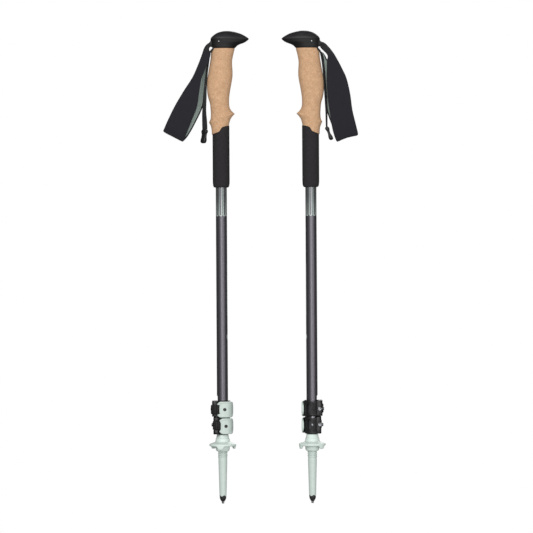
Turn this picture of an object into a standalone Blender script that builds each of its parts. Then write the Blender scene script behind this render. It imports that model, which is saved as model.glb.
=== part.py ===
"""A pair of three-section trekking poles, pushed together and standing side by side.

Each pole is built about its own shaft axis, with x to the front of the grip (the way its beak
points), z up from the carbide tip, and y across. Every size below is in millimetres, and
mesh_object() turns it into metres. The left pole's front is world +X and the right pole is the
same pole turned half a turn, so the beaks face each other. Only the wrist straps hang differently.
"""

import math

import bmesh
import bpy
from mathutils import Matrix, Vector

MM = 0.001

# ---- driving dimensions ----------------------------------------------------------------------
POLE_SPACING = 129.0
GAP = 0.3                 # clearance kept between pieces that touch
WALL = 0.7                # aluminium tube wall
UPPER_R, MIDDLE_R, LOWER_R = 8.0, 7.0, 6.0
TUBE_SIDES = 24
SMALL_SIDES = 16

# levels along a pole, up from the tip
TIP_TOP = 12.0            # top of the carbide pin, inside the nose
NOSE_BOTTOM, NOSE_TOP = 3.2, 11.0
FERRULE_TOP = 94.5
THREAD_START, THREAD_PITCH, THREAD_TURNS = 66.0, 2.9, 3
BASKET_BOTTOM, BASKET_TOP = 75.3, 99.4
LOWER_CLAMP = (100.0, 124.9)
UPPER_CLAMP = (125.4, 148.5)
NECK_BOTTOM = 32.0        # lower end of the swaged neck inside the ferrule
LOWER_TUBE_TOP, MIDDLE_TUBE_TOP, UPPER_TUBE_TOP = 610.0, 636.0, 652.0
FOAM_BOTTOM = 455.0
CORE_BOTTOM, CORE_TOP = 545.0, 654.4
CORK_TOP = 655.0
PARTING = 668.3           # parting line between the grip head's body and its cap

FOAM_R = 12.2
CORE_R = 10.0

# lever clamp, seen from above
PIN_X, PIN_Y = -10.8, -11.5       # axis of the lever's pin
PIN_R, CAM_R, EAR_R = 2.2, 4.6, 4.0
SCREW_R, SCREW_HEAD_R = 1.25, 2.7
BLOCK_REAR, BLOCK_LEFT, BLOCK_RIGHT = -14.9, -6.6, 8.6
LEVER_THICK, LEVER_START, LEVER_END = 3.0, -116.0, 12.0
SPLIT_WIDTH = 2.0
UPPER_COLLAR_R, LOWER_COLLAR_R = 11.4, 10.8
UPPER_PLATE, LOWER_PLATE = (124.5, 147.4), (100.6, 123.4)
UPPER_CAM, LOWER_CAM = (129.2, 143.0), (107.0, 119.8)

# wrist strap
STRAP_PIN_X, STRAP_PIN_Z, STRAP_PIN_R = -2.1, 664.7, 1.8
WEB_WIDTH, WEB_THICK = 13.0, 1.2
BAND_THICK, LINING_THICK, LINING_GAP = 2.0, 0.8, 0.9
SLOT_HALF = WEB_WIDTH / 2 + 0.8
STRAP_PIVOT = (-17.0, 0.0, 664.9)

MATERIALS = {
    # name: (red, green, blue, roughness, metallic)
    "cork": (0.60, 0.37, 0.20, 0.85, 0.0),
    "foam": (0.032, 0.030, 0.031, 0.9, 0.0),
    "head_plastic": (0.035, 0.032, 0.034, 0.5, 0.0),
    "clamp_plastic": (0.018, 0.018, 0.020, 0.45, 0.0),
    "core_plastic": (0.05, 0.05, 0.05, 0.6, 0.0),
    "shaft": (0.11, 0.105, 0.12, 0.35, 0.9),
    "mint_lever": (0.55, 0.63, 0.60, 0.4, 0.0),
    "mint_tip": (0.52, 0.60, 0.56, 0.5, 0.0),
    "nose_rubber": (0.04, 0.038, 0.04, 0.7, 0.0),
    "carbide": (0.35, 0.35, 0.37, 0.3, 1.0),
    "steel": (0.55, 0.55, 0.57, 0.3, 1.0),
    "strap_black": (0.025, 0.024, 0.030, 0.9, 0.0),
    "lining_mint": (0.36, 0.42, 0.40, 0.95, 0.0),
}


# ---- modelling tools -------------------------------------------------------------------------
def clear_scene():
    for obj in list(bpy.data.objects):
        bpy.data.objects.remove(obj, do_unlink=True)


def material(name):
    found = bpy.data.materials.get(name)
    if found:
        return found
    red, green, blue, roughness, metallic = MATERIALS[name]
    made = bpy.data.materials.new(name)
    made.use_nodes = True
    shader = made.node_tree.nodes["Principled BSDF"]
    shader.inputs["Base Color"].default_value = (red, green, blue, 1.0)
    shader.inputs["Roughness"].default_value = roughness
    shader.inputs["Metallic"].default_value = metallic
    made.diffuse_color = (red, green, blue, 1.0)
    return made


def pole_empty(name, at_x, turn):
    """The empty that holds a whole pole, on its shaft axis at the tip."""
    made = bpy.data.objects.new(name, None)
    made.empty_display_size = 0.02
    made.location = (at_x * MM, 0, 0)
    made.rotation_euler = (0, 0, turn)
    made["at"] = (0.0, 0.0, 0.0)
    bpy.context.scene.collection.objects.link(made)
    return made


def pivot_empty(name, parent, at=(0.0, 0.0, 0.0)):
    """An empty on a joint's axis. `at` is its place in the pole's own frame."""
    made = bpy.data.objects.new(name, None)
    made.empty_display_size = 0.01
    made.parent = parent
    made.location = (Vector(at) - Vector(parent["at"])) * MM
    made["at"] = at
    bpy.context.scene.collection.objects.link(made)
    return made


def mesh_object(name, bm, parent, finish=None, smooth_angle=35):
    """Turns a bmesh in millimetres, laid out in the pole's own frame, into an object of an empty.

    The object's origin is the empty's, so a piece that moves turns about its joint's axis."""
    bmesh.ops.recalc_face_normals(bm, faces=bm.faces[:])
    bmesh.ops.translate(bm, vec=-Vector(parent["at"]), verts=bm.verts[:])
    bmesh.ops.scale(bm, vec=(MM, MM, MM), verts=bm.verts[:])
    mesh = bpy.data.meshes.new(name)
    bm.to_mesh(mesh)
    bm.free()
    made = bpy.data.objects.new(name, mesh)
    made.parent = parent
    bpy.context.scene.collection.objects.link(made)
    if finish:
        mesh.materials.append(material(finish))
        mesh.shade_smooth()
        mesh.set_sharp_from_angle(angle=math.radians(smooth_angle))
    else:
        made.hide_render = True
        made.display_type = "WIRE"
    return made


def boolean(target, other, operation):
    """Adds an exact Boolean of `other`, a helper that isn't rendered, to `target`."""
    step = target.modifiers.new(other.name, "BOOLEAN")
    step.operation = operation
    step.solver = "EXACT"
    step.object = other


def turned(profile, sides):
    """A solid of revolution about z. Its (radius, z) profile starts and ends on the axis, or is a loop."""
    bm = bmesh.new()
    verts = [bm.verts.new((radius, 0, z)) for radius, z in profile]
    edges = [bm.edges.new(pair) for pair in zip(verts, verts[1:])]
    if profile[0][0] > 0:
        edges.append(bm.edges.new((verts[-1], verts[0])))
    bmesh.ops.spin(
        bm, geom=verts + edges, cent=(0, 0, 0), axis=(0, 0, 1),
        angle=2 * math.pi, steps=sides, use_merge=True, use_duplicate=False,
    )
    bmesh.ops.remove_doubles(bm, verts=bm.verts[:], dist=0.0005)
    return bm


def lofted(rings):
    """A closed skin over rings of points, which all have the same number of points."""
    bm = bmesh.new()
    loops = [[bm.verts.new(point) for point in ring] for ring in rings]
    for low, high in zip(loops, loops[1:]):
        for i in range(len(low)):
            j = (i + 1) % len(low)
            bm.faces.new((low[i], low[j], high[j], high[i]))
    bm.faces.new(loops[0][::-1])
    bm.faces.new(loops[-1])
    return bm


def prism(outline, start, end, axis="z"):
    """An outline of (a, b) points extruded from start to end along an axis.

    Along z the outline is (x, y), along y it is (x, z)."""
    def place(a, b, c):
        return (a, b, c) if axis == "z" else (a, c, b)

    return lofted([[place(a, b, level) for a, b in outline] for level in (start, end)])


def rounded_outline(points, radius, steps=2):
    """The corners of a polygon, each rounded by an arc that starts `radius` from the corner."""
    made = []
    count = len(points)
    for i, corner in enumerate(points):
        here = Vector(corner)
        before = here + (Vector(points[i - 1]) - here).normalized() * radius
        after = here + (Vector(points[(i + 1) % count]) - here).normalized() * radius
        for k in range(steps + 1):
            t = k / steps
            point = before * (1 - t) ** 2 + here * 2 * t * (1 - t) + after * t**2
            made.append(tuple(point))
    return made


def oval_ring(z, rear, front, half_width, points, egg=0.0, square=2.0):
    """A horizontal ring from x = rear to x = front. `egg` narrows its front, `square` over 2 fills its corners."""
    middle, half = (rear + front) / 2, (front - rear) / 2
    ring = []
    for i in range(points):
        angle = 2 * math.pi * i / points
        c, s = math.cos(angle), math.sin(angle)
        x = math.copysign(abs(c) ** (2 / square), c)
        y = math.copysign(abs(s) ** (2 / square), s)
        ring.append((middle + half * x, half_width * y * (1 - egg * c), z))
    return ring


def through(points, per_span):
    """Points along a Catmull-Rom curve through `points`."""
    padded = [points[0]] + list(points) + [points[-1]]
    made = []
    for i in range(1, len(padded) - 2):
        a, b, c, d = (Vector(p) for p in padded[i - 1 : i + 3])
        for k in range(per_span):
            t = k / per_span
            made.append(
                0.5 * (2 * b + (c - a) * t + (2 * a - 5 * b + 4 * c - d) * t**2
                       + (3 * b - a - 3 * c + d) * t**3)
            )
    made.append(Vector(points[-1]))
    return made


def ribbon(edge_a, edge_b, thickness, per_span, offset=0.0, inset=0.0, stations=None):
    """A flat strap between two edge curves, `offset` to the side of its middle surface.

    `stations` is the first and last of the edges' points that it runs between."""
    first, second = through(edge_a, per_span), through(edge_b, per_span)
    thick = [v.x for v in through([(t, 0, 0) for t in thickness], per_span)]
    middles = [(a + b) / 2 for a, b in zip(first, second)]
    start, end = stations or (0, len(edge_a) - 1)
    rings = []
    for i in range(start * per_span, end * per_span + 1):
        a, b = first[i], second[i]
        along = middles[min(i + 1, len(middles) - 1)] - middles[max(i - 1, 0)]
        across = (b - a).normalized()
        normal = along.cross(across).normalized()
        a, b = a + across * inset + normal * offset, b - across * inset + normal * offset
        half = normal * thick[i] / 2
        rings.append([a + half, b + half, b - half, a - half])
    return lofted(rings)


# ---- tip, ferrule and basket -----------------------------------------------------------------
def make_tip(side, lower, basket_pivot):
    tip_r, nose_bore, shank_r, shank_top = 1.75, 2.05, 3.0, 25.0
    profile = [(0, 0), (1.3, 0), (tip_r, 0.6), (tip_r, TIP_TOP), (0, TIP_TOP)]
    mesh_object(side + "carbide_tip", turned(profile, 16), lower, "carbide")

    profile = [
        (0, TIP_TOP + GAP), (nose_bore, TIP_TOP + GAP), (nose_bore, NOSE_BOTTOM),
        (2.7, NOSE_BOTTOM), (4.9, NOSE_TOP - GAP), (shank_r, NOSE_TOP - GAP),
        (shank_r, shank_top), (0, shank_top),
    ]
    mesh_object(side + "tip_nose", turned(profile, SMALL_SIDES), lower, "nose_rubber")

    root_r, crest_r, neck_bore = 6.2, 7.05, LOWER_R - 1.5 + GAP
    profile = [(0, shank_top + 0.5), (shank_r + GAP, shank_top + 0.5), (shank_r + GAP, NOSE_TOP)]
    profile += [(5.0, NOSE_TOP), (6.35, 62.0)]
    for turn in range(THREAD_TURNS):
        z = THREAD_START + turn * THREAD_PITCH
        profile += [(root_r, z), (crest_r, z + 0.8), (crest_r, z + 1.5), (root_r, z + 2.3)]
    profile += [(6.7, 76.0), (6.7, FERRULE_TOP), (neck_bore, FERRULE_TOP)]
    profile += [(neck_bore, NECK_BOTTOM - 1), (0, NECK_BOTTOM - 1)]
    mesh_object(side + "ferrule", turned(profile, SMALL_SIDES), lower, "mint_tip")

    bore = crest_r + GAP
    profile = [
        (bore, BASKET_BOTTOM), (8.2, BASKET_BOTTOM), (10.0, 77.6), (10.2, 83.4), (18.4, 84.6),
        (19.4, 85.8), (19.4, 87.2), (18.6, 88.6), (10.6, 91.2), (9.9, 92.4), (7.6, BASKET_TOP),
        (6.5, BASKET_TOP), (6.5, 96.6), (bore, 95.2),
    ]
    basket = mesh_object(side + "basket", turned(profile, TUBE_SIDES), basket_pivot, "mint_tip")
    for number, degrees in enumerate((-100, 20, 140)):
        tab = prism([(15.2, 86.4), (18.9, 86.4), (18.6, 81.0), (17.6, 78.5), (16.4, 78.5),
                     (15.2, 83.0)], -4.2, 4.2, axis="y")
        turn = Matrix.Rotation(math.radians(degrees), 3, "Z")
        bmesh.ops.rotate(tab, cent=(0, 0, 0), verts=tab.verts[:], matrix=turn)
        helper = mesh_object(f"{side}basket_tab_{number}", tab, basket_pivot)
        boolean(basket, helper, "UNION")


# ---- shafts ----------------------------------------------------------------------------------
def make_tube(name, radius, bottom, top, parent, slot_top):
    """A plain tube whose lower end has a relief slot at the rear, so that its clamp can squeeze it."""
    inner = radius - WALL
    profile = [(radius, bottom), (radius, top), (inner, top), (inner, bottom)]
    tube = mesh_object(name, turned(profile, TUBE_SIDES), parent, "shaft")
    cutter = prism([(-radius - 1, -0.8), (-inner + 1.5, -0.8), (-inner + 1.5, 0.8),
                    (-radius - 1, 0.8)], bottom - 1, slot_top)
    boolean(tube, mesh_object(name + "_slot", cutter, parent), "DIFFERENCE")


def make_plug(name, tube_r, tube_top, parent):
    """The plastic end bush that guides an inner tube and stops it from pulling out."""
    spigot = tube_r - WALL - GAP
    profile = [
        (0, tube_top - 14), (spigot, tube_top - 14), (spigot, tube_top + GAP),
        (tube_r, tube_top + GAP), (tube_r, tube_top + 2.6), (tube_r - 0.7, tube_top + 3.4),
        (0, tube_top + 3.4),
    ]
    mesh_object(name, turned(profile, SMALL_SIDES), parent, "core_plastic")


def make_shafts(side, upper, middle, lower):
    make_tube(side + "upper_shaft", UPPER_R, UPPER_CLAMP[0] + 1.6, UPPER_TUBE_TOP, upper, 155.0)
    make_tube(side + "middle_shaft", MIDDLE_R, LOWER_CLAMP[0] + 1.6, MIDDLE_TUBE_TOP, middle, 130.0)
    neck = LOWER_R - 1.5
    inner = LOWER_R - WALL
    profile = [
        (neck, NECK_BOTTOM), (neck, 95.0), (LOWER_R, 99.0), (LOWER_R, LOWER_TUBE_TOP),
        (inner, LOWER_TUBE_TOP), (inner, 99.3), (neck - WALL, 95.3), (neck - WALL, NECK_BOTTOM),
    ]
    mesh_object(side + "lower_shaft", turned(profile, TUBE_SIDES), lower, "shaft")
    make_plug(side + "middle_plug", MIDDLE_R, MIDDLE_TUBE_TOP, middle)
    make_plug(side + "lower_plug", LOWER_R, LOWER_TUBE_TOP, lower)


# ---- lever clamps ----------------------------------------------------------------------------
def cylinder_along_y(radius, start, end, x, z, sides=12):
    outline = [(x + radius * math.cos(2 * math.pi * i / sides),
                z + radius * math.sin(2 * math.pi * i / sides)) for i in range(sides)]
    return prism(outline, start, end, axis="y")


def cylinder_along_z(radius, start, end, x, y, sides=12):
    outline = [(x + radius * math.cos(2 * math.pi * i / sides),
                y + radius * math.sin(2 * math.pi * i / sides)) for i in range(sides)]
    return prism(outline, start, end)


def lever_outline():
    """Plan of the lever's plate: it wraps the collar from the cam round to the front, as a squared arc."""
    square, middle_r, steps = 2.6, 13.4, 12
    inner, outer = [], []
    for i in range(steps + 1):
        angle = math.radians(LEVER_START + (LEVER_END - LEVER_START) * i / steps)
        c, s = math.cos(angle), math.sin(angle)
        stretch = (abs(c) ** square + abs(s) ** square) ** (-1 / square)
        finger_lip = 0.9 * max(0.0, i - steps + 2) / 2
        for side, half in ((inner, -LEVER_THICK / 2), (outer, LEVER_THICK / 2)):
            reach = (middle_r + half + finger_lip) * stretch
            side.append((c * reach, s * reach))
    return inner + outer[::-1]


def make_clamp_body(name, levels, tube_r, collar_r, cam_z, section):
    """The split collar, its block for the tension screw and the two ears that hold the lever's pin."""
    bottom, top = levels
    screw_z = sum(cam_z) / 2
    bore, lip = tube_r + GAP, tube_r - 1 + GAP
    profile = [
        (lip, bottom), (collar_r - 0.8, bottom), (collar_r, bottom + 0.8), (collar_r, top - 0.8),
        (collar_r - 0.8, top), (bore, top), (bore, bottom + 1.3), (lip, bottom + 1.3),
    ]
    body = mesh_object(name + "_clamp_body", turned(profile, TUBE_SIDES), section, "clamp_plastic")
    low, high = bottom + 0.4, top - 0.4
    block = rounded_outline(
        [(BLOCK_REAR, PIN_Y), (-7.0, PIN_Y), (-7.0, BLOCK_LEFT), (-bore - 0.4, -3.0),
         (-bore - 0.4, 3.0), (-6.0, BLOCK_RIGHT), (BLOCK_REAR, BLOCK_RIGHT)], 0.9)
    split = [(-16, -SPLIT_WIDTH / 2), (-4, -SPLIT_WIDTH / 2), (-4, SPLIT_WIDTH / 2),
             (-16, SPLIT_WIDTH / 2)]
    recess_r, recess = CAM_R + 0.4, (cam_z[0] - 0.35, cam_z[1] + 0.35)
    head_floor = BLOCK_RIGHT - 2.2
    steps = (
        ("block", prism(block, low, high), "UNION"),
        ("ears", cylinder_along_z(EAR_R, low + 0.1, high - 0.1, PIN_X, PIN_Y), "UNION"),
        ("cam_recess", cylinder_along_z(recess_r, *recess, PIN_X, PIN_Y), "DIFFERENCE"),
        ("pin_hole", cylinder_along_z(PIN_R + GAP, bottom - 1, top + 1, PIN_X, PIN_Y), "DIFFERENCE"),
        ("split", prism(split, bottom - 1, top + 1), "DIFFERENCE"),
        ("screw_hole", cylinder_along_y(SCREW_R + GAP, PIN_Y, BLOCK_RIGHT + 1, PIN_X, screw_z),
         "DIFFERENCE"),
        ("head_sink", cylinder_along_y(SCREW_HEAD_R + GAP, head_floor, BLOCK_RIGHT + 1, PIN_X, screw_z),
         "DIFFERENCE"),
    )
    for label, shape, operation in steps:
        boolean(body, mesh_object(f"{name}_{label}", shape, section), operation)


def make_lever(name, plate_z, cam_z, pivot):
    """The cam, the arm that joins it to the plate, and the plate, with room for the tension screw."""
    lever = mesh_object(name + "_lever", prism(lever_outline(), *plate_z), pivot, "mint_lever")
    screw_z = sum(cam_z) / 2
    arm = [(PIN_X, PIN_Y - 4.4), (-3.5, -15.0), (-3.5, -12.3), (-7.0, -9.5), (PIN_X, PIN_Y + 2.5)]
    sector = [(PIN_X, PIN_Y)]
    for degrees in range(60, 226, 15):
        sector.append((PIN_X + 7 * math.cos(math.radians(degrees)),
                       PIN_Y + 7 * math.sin(math.radians(degrees))))
    steps = (
        ("arm", prism(arm, cam_z[0] + 0.2, cam_z[1] - 0.2), "UNION"),
        ("cam", cylinder_along_z(CAM_R, *cam_z, PIN_X, PIN_Y), "UNION"),
        ("eye", cylinder_along_z(PIN_R + GAP, cam_z[0] - 1, cam_z[1] + 1, PIN_X, PIN_Y), "DIFFERENCE"),
        ("screw_sweep", prism(sector, screw_z - 2, screw_z + 2), "DIFFERENCE"),
    )
    for label, shape, operation in steps:
        boolean(lever, mesh_object(f"{name}_lever_{label}", shape, pivot), operation)


def make_clamp(name, levels, tube_r, collar_r, plate_z, cam_z, section):
    """One external lever clamp, fastened on the lower end of `section`'s tube."""
    screw_z = sum(cam_z) / 2
    make_clamp_body(name, levels, tube_r, collar_r, cam_z, section)
    make_lever(name, plate_z, cam_z, pivot_empty(name + "_lever_pivot", section, (PIN_X, PIN_Y, screw_z)))

    pin = mesh_object(name + "_lever_pin", cylinder_along_z(PIN_R, levels[0] + 1, levels[1] - 1,
                                                            PIN_X, PIN_Y), section, "steel")
    cross = cylinder_along_y(SCREW_R + GAP / 2, PIN_Y - 4, PIN_Y + 4, PIN_X, screw_z)
    boolean(pin, mesh_object(name + "_cross_hole", cross, section), "DIFFERENCE")

    screw_pivot = pivot_empty(name + "_screw_pivot", section, (PIN_X, 0.0, screw_z))
    screw = screw_mesh(PIN_Y - 1.8, BLOCK_RIGHT - 2.2 + GAP, BLOCK_RIGHT + 0.2, screw_z)
    mesh_object(name + "_clamp_screw", screw, screw_pivot, "steel")


def screw_mesh(tip, head_start, head_end, z):
    """A cap screw along y, with a hexagon socket in its head."""
    profile = [(0, tip), (SCREW_R, tip), (SCREW_R, head_start), (SCREW_HEAD_R, head_start),
               (SCREW_HEAD_R, head_end), (1.5, head_end), (1.5, head_end - 1.3), (0, head_end - 1.3)]
    bm = turned(profile, 12)
    for vert in bm.verts:
        x, y, along = vert.co
        vert.co = (PIN_X + x, along, z - y)
    return bm


# ---- grip ------------------------------------------------------------------------------------
CORK_SECTIONS = [
    # z, rear x, front x, half width
    (529, -13.0, 12.2, 12.4), (540, -13.8, 11.4, 12.4), (549, -16.7, 12.8, 12.7),
    (557, -14.6, 17.2, 13.2), (562, -14.6, 19.4, 13.3), (566, -15.0, 14.6, 13.0),
    (575, -15.4, 12.1, 12.8), (584, -18.2, 12.3, 13.2), (595, -19.6, 14.0, 14.0),
    (610, -19.4, 16.6, 14.6), (620, -17.7, 17.3, 14.6), (635, -15.2, 16.6, 13.8),
    (644, -13.8, 18.0, 13.4), (CORK_TOP, -14.0, 20.5, 13.3),
]
BOUNDARY = [
    # the stepped edge where the cork meets the foam, front to rear, as (x, z)
    (14, 544.4), (1.5, 540.3), (0, 539.4), (-1.3, 536.6), (-2.8, 535.2), (-14, 531),
]


def below_boundary(shift):
    upper_edge = [(x, z + shift) for x, z in BOUNDARY]
    return prism([(30, BOUNDARY[0][1] + shift)] + upper_edge
                 + [(-30, BOUNDARY[-1][1] + shift), (-30, 500), (30, 500)], -20, 20, axis="y")


def above_boundary(shift):
    lower_edge = [(x, z + shift) for x, z in BOUNDARY]
    return prism([(30, BOUNDARY[0][1] + shift)] + lower_edge
                 + [(-30, BOUNDARY[-1][1] + shift), (-30, 560), (30, 560)], -20, 20, axis="y")


def make_grip(side, upper):
    rings = [oval_ring(z, rear, front, half, 24, square=2.2)
             for z, rear, front, half in CORK_SECTIONS]
    cork = mesh_object(side + "cork_grip", lofted(rings), upper, "cork", smooth_angle=60)
    bore = turned([(0, 500), (UPPER_R + GAP, 500), (UPPER_R + GAP, CORE_BOTTOM - GAP),
                   (CORE_R + GAP, CORE_BOTTOM - GAP), (CORE_R + GAP, 700), (0, 700)], TUBE_SIDES)
    boolean(cork, mesh_object(side + "cork_bore", bore, upper), "DIFFERENCE")
    boolean(cork, mesh_object(side + "cork_end", below_boundary(GAP), upper), "DIFFERENCE")
    notch = prism([(-30, 648.2), (-9.6, 648.2), (-9.6, 660), (-30, 660)], -9, 9, axis="y")
    boolean(cork, mesh_object(side + "cork_notch", notch, upper), "DIFFERENCE")

    inner = UPPER_R + GAP
    profile = [(inner, CORE_BOTTOM), (CORE_R, CORE_BOTTOM), (CORE_R, CORE_TOP), (inner, CORE_TOP)]
    mesh_object(side + "grip_core", turned(profile, TUBE_SIDES), upper, "core_plastic")

    profile = [
        (inner, FOAM_BOTTOM), (10.2, FOAM_BOTTOM), (11.5, 456.2), (12.1, 459.0), (FOAM_R, 464.0),
        (FOAM_R, 546.0), (inner, 546.0),
    ]
    foam = mesh_object(side + "foam_grip", turned(profile, TUBE_SIDES), upper, "foam")
    boolean(foam, mesh_object(side + "foam_end", above_boundary(0), upper), "DIFFERENCE")


def make_head(side, upper, wedge_slide):
    sections = [
        # z, rear x, front x, half width, egg
        (CORK_TOP + GAP, -14.0, 20.3, 13.2, 0.0), (658, -14.3, 23.0, 13.8, 0.05),
        (661, -14.4, 27.5, 14.2, 0.12), (663, -14.5, 33.3, 14.4, 0.20),
        (666, -14.4, 38.4, 14.6, 0.26), (PARTING, -14.2, 40.6, 14.8, 0.30),
    ]
    rings = [oval_ring(z, rear, front, half, 24, egg, 2.2) for z, rear, front, half, egg in sections]
    base = mesh_object(side + "head_base", lofted(rings), upper, "head_plastic", smooth_angle=50)
    spigot_r = UPPER_R - WALL - GAP
    spigot = turned([(0, 641), (spigot_r, 641), (spigot_r, 656.5), (0, 656.5)], SMALL_SIDES)
    boolean(base, mesh_object(side + "head_spigot", spigot, upper), "UNION")
    cavity = prism([(-18, 670), (2.0, 670), (2.0, 661.0), (-2.4, 660.6), (-7.4, 656.9),
                    (-9.8, 655.0), (-10.4, 653), (-18, 653)], -SLOT_HALF, SLOT_HALF, axis="y")
    boolean(base, mesh_object(side + "strap_cavity", cavity, upper), "DIFFERENCE")
    hole = cylinder_along_y(STRAP_PIN_R + GAP, -20, 20, STRAP_PIN_X, STRAP_PIN_Z)
    boolean(base, mesh_object(side + "strap_pin_hole", hole, upper), "DIFFERENCE")

    sections = [
        (PARTING + GAP, -14.2, 41.0, 15.0, 0.30), (671, -13.2, 38.4, 14.5, 0.30),
        (673.5, -10.7, 34.6, 13.2, 0.28), (676, -7.6, 30.3, 11.2, 0.25),
        (678, -3.8, 24.2, 8.8, 0.20), (679.5, 1.5, 16.8, 5.5, 0.10), (680.4, 7.0, 12.6, 2.2, 0.0),
    ]
    rings = [oval_ring(z, rear, front, half, 24, egg, 2.2) for z, rear, front, half, egg in sections]
    mesh_object(side + "head_cap", lofted(rings), upper, "head_plastic", smooth_angle=50)

    pin = cylinder_along_y(STRAP_PIN_R, -15.2, 15.2, STRAP_PIN_X, STRAP_PIN_Z)
    mesh_object(side + "strap_pin", pin, upper, "steel")

    wedge = prism([(-15.6, 662.6), (-6.2, 664.6), (-5.6, 663.6), (-5.9, 661.6), (-11.8, 657.2),
                   (-14.4, 657.6)], -WEB_WIDTH / 2 + 0.4, WEB_WIDTH / 2 - 0.4, axis="y")
    mesh_object(side + "strap_wedge", wedge, wedge_slide, "clamp_plastic")


# ---- wrist strap -----------------------------------------------------------------------------
# Stations down the front layer, round the fold at the bottom and up the rear layer. Each is
# (outer edge, inner edge), and an edge is (x, z, distance towards the layer that lies in front).
LEFT_STRAP = [
    ((-17.4, 664.1, -6.5), (-17.4, 664.1, 6.5)), ((-22.5, 659.5, -5.0), (-20.8, 656.0, 7.0)),
    ((-27.0, 648.0, -1.0), (-20.6, 643.5, 9.0)), ((-32.6, 631.0, 4.0), (-22.0, 628.0, 10.0)),
    ((-40.5, 613.5, 7.0), (-27.4, 611.5, 10.0)), ((-52.5, 595.0, 8.5), (-30.5, 594.0, 10.0)),
    ((-66.5, 573.5, 9.0), (-34.5, 572.0, 10.0)), ((-75.5, 553.5, 8.5), (-42.3, 550.2, 9.0)),
    ((-81.0, 541.5, 6.5), (-50.0, 531.5, 6.5)), ((-83.2, 536.5, 0.0), (-54.6, 521.5, 0.0)),
    ((-79.5, 541.5, -6.0), (-48.5, 531.5, -6.0)), ((-72.5, 556.0, -7.5), (-39.0, 550.2, -8.0)),
    ((-62.0, 576.0, -8.0), (-28.6, 573.0, -8.5)), ((-48.0, 597.0, -8.0), (-25.2, 594.0, -8.5)),
    ((-37.0, 615.0, -7.5), (-22.4, 613.0, -8.2)), ((-29.5, 632.5, -7.0), (-20.0, 631.0, -8.0)),
    ((-22.5, 643.0, -7.5), (-18.0, 641.5, -2.5)), ((-14.6, 651.0, -6.5), (-14.6, 651.0, 6.5)),
]
RIGHT_STRAP = [
    ((-17.4, 664.1, -6.5), (-17.4, 664.1, 6.5)), ((-24.1, 659.2, -5.0), (-21.5, 655.0, 7.0)),
    ((-31.8, 650.5, -1.0), (-25.2, 643.8, 9.0)), ((-38.9, 638.8, 4.0), (-24.6, 634.9, 10.0)),
    ((-46.4, 624.0, 7.0), (-23.6, 621.0, 10.0)), ((-52.4, 610.0, 8.5), (-23.4, 606.0, 10.0)),
    ((-57.3, 588.0, 9.0), (-24.4, 587.0, 10.0)), ((-59.4, 565.0, 8.5), (-27.8, 566.0, 9.5)),
    ((-64.0, 545.0, 6.5), (-31.0, 540.0, 6.5)), ((-66.6, 532.5, 0.0), (-35.6, 521.5, 0.0)),
    ((-61.5, 545.0, -6.0), (-29.8, 541.0, -6.0)), ((-57.0, 566.0, -7.5), (-25.6, 566.0, -8.0)),
    ((-54.0, 588.0, -8.0), (-22.6, 588.0, -8.5)), ((-49.0, 609.0, -8.0), (-21.6, 606.0, -8.5)),
    ((-42.0, 624.0, -7.5), (-20.6, 622.0, -8.2)), ((-32.0, 638.0, -7.0), (-19.4, 636.5, -7.8)),
    ((-23.4, 646.5, -7.5), (-18.2, 644.0, -2.5)), ((-14.6, 651.0, -6.5), (-14.6, 651.0, 6.5)),
]
WEBBING_STATIONS = 2      # stations at each end that are plain webbing and not padded band

LEFT_TAIL = [
    # centre x, z, distance to the front, and how far the tail has turned to face the front, degrees
    (-17.6, 630.0, 0.0, 0), (-20.4, 615.0, 0.0, 0), (-21.4, 600.0, 0.0, 5), (-21.6, 584.0, 0.0, 15),
    (-22.4, 566.0, 0.5, 35), (-23.6, 550.0, 1.0, 50), (-24.2, 538.8, 1.0, 55),
]
RIGHT_TAIL = [
    (-17.4, 632.0, 0.0, 0), (-20.2, 616.0, 0.0, 0), (-20.4, 600.0, 0.0, 0), (-19.8, 584.0, 0.0, 0),
    (-20.6, 566.0, 0.0, 0), (-22.0, 552.0, 0.0, 0), (-24.6, 541.6, 0.0, 0),
]
TAIL_WIDTH, TAIL_THICK = 9.5, 1.2
TAB_LENGTH, TAB_WIDTH, TAB_THICK = 20.0, 10.5, 5.6


def on_side(edge, front):
    """An (x, z, distance to the front) triple as a point. `front` is the sign of y at the front layer."""
    x, z, distance = edge
    return (x, front * distance, z)


def make_anchor(side, upper):
    """The webbing inside the grip head: in over the pin, round it and out again below."""
    path = [(-16.8, 664.4), (-12.6, 665.8), (-7.4, 667.0), (-2.1, 667.4), (-0.1, 666.6),
            (0.6, 664.7), (-0.1, 662.8), (-2.1, 662.0), (-5.0, 660.3), (-9.4, 656.9), (-13.9, 652.2)]
    half = WEB_WIDTH / 2
    near = [(x, -half, z) for x, z in path]
    far = [(x, half, z) for x, z in path]
    web = ribbon(near, far, [WEB_THICK] * len(path), 2)
    mesh_object(side + "strap_anchor", web, upper, "strap_black")


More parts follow.
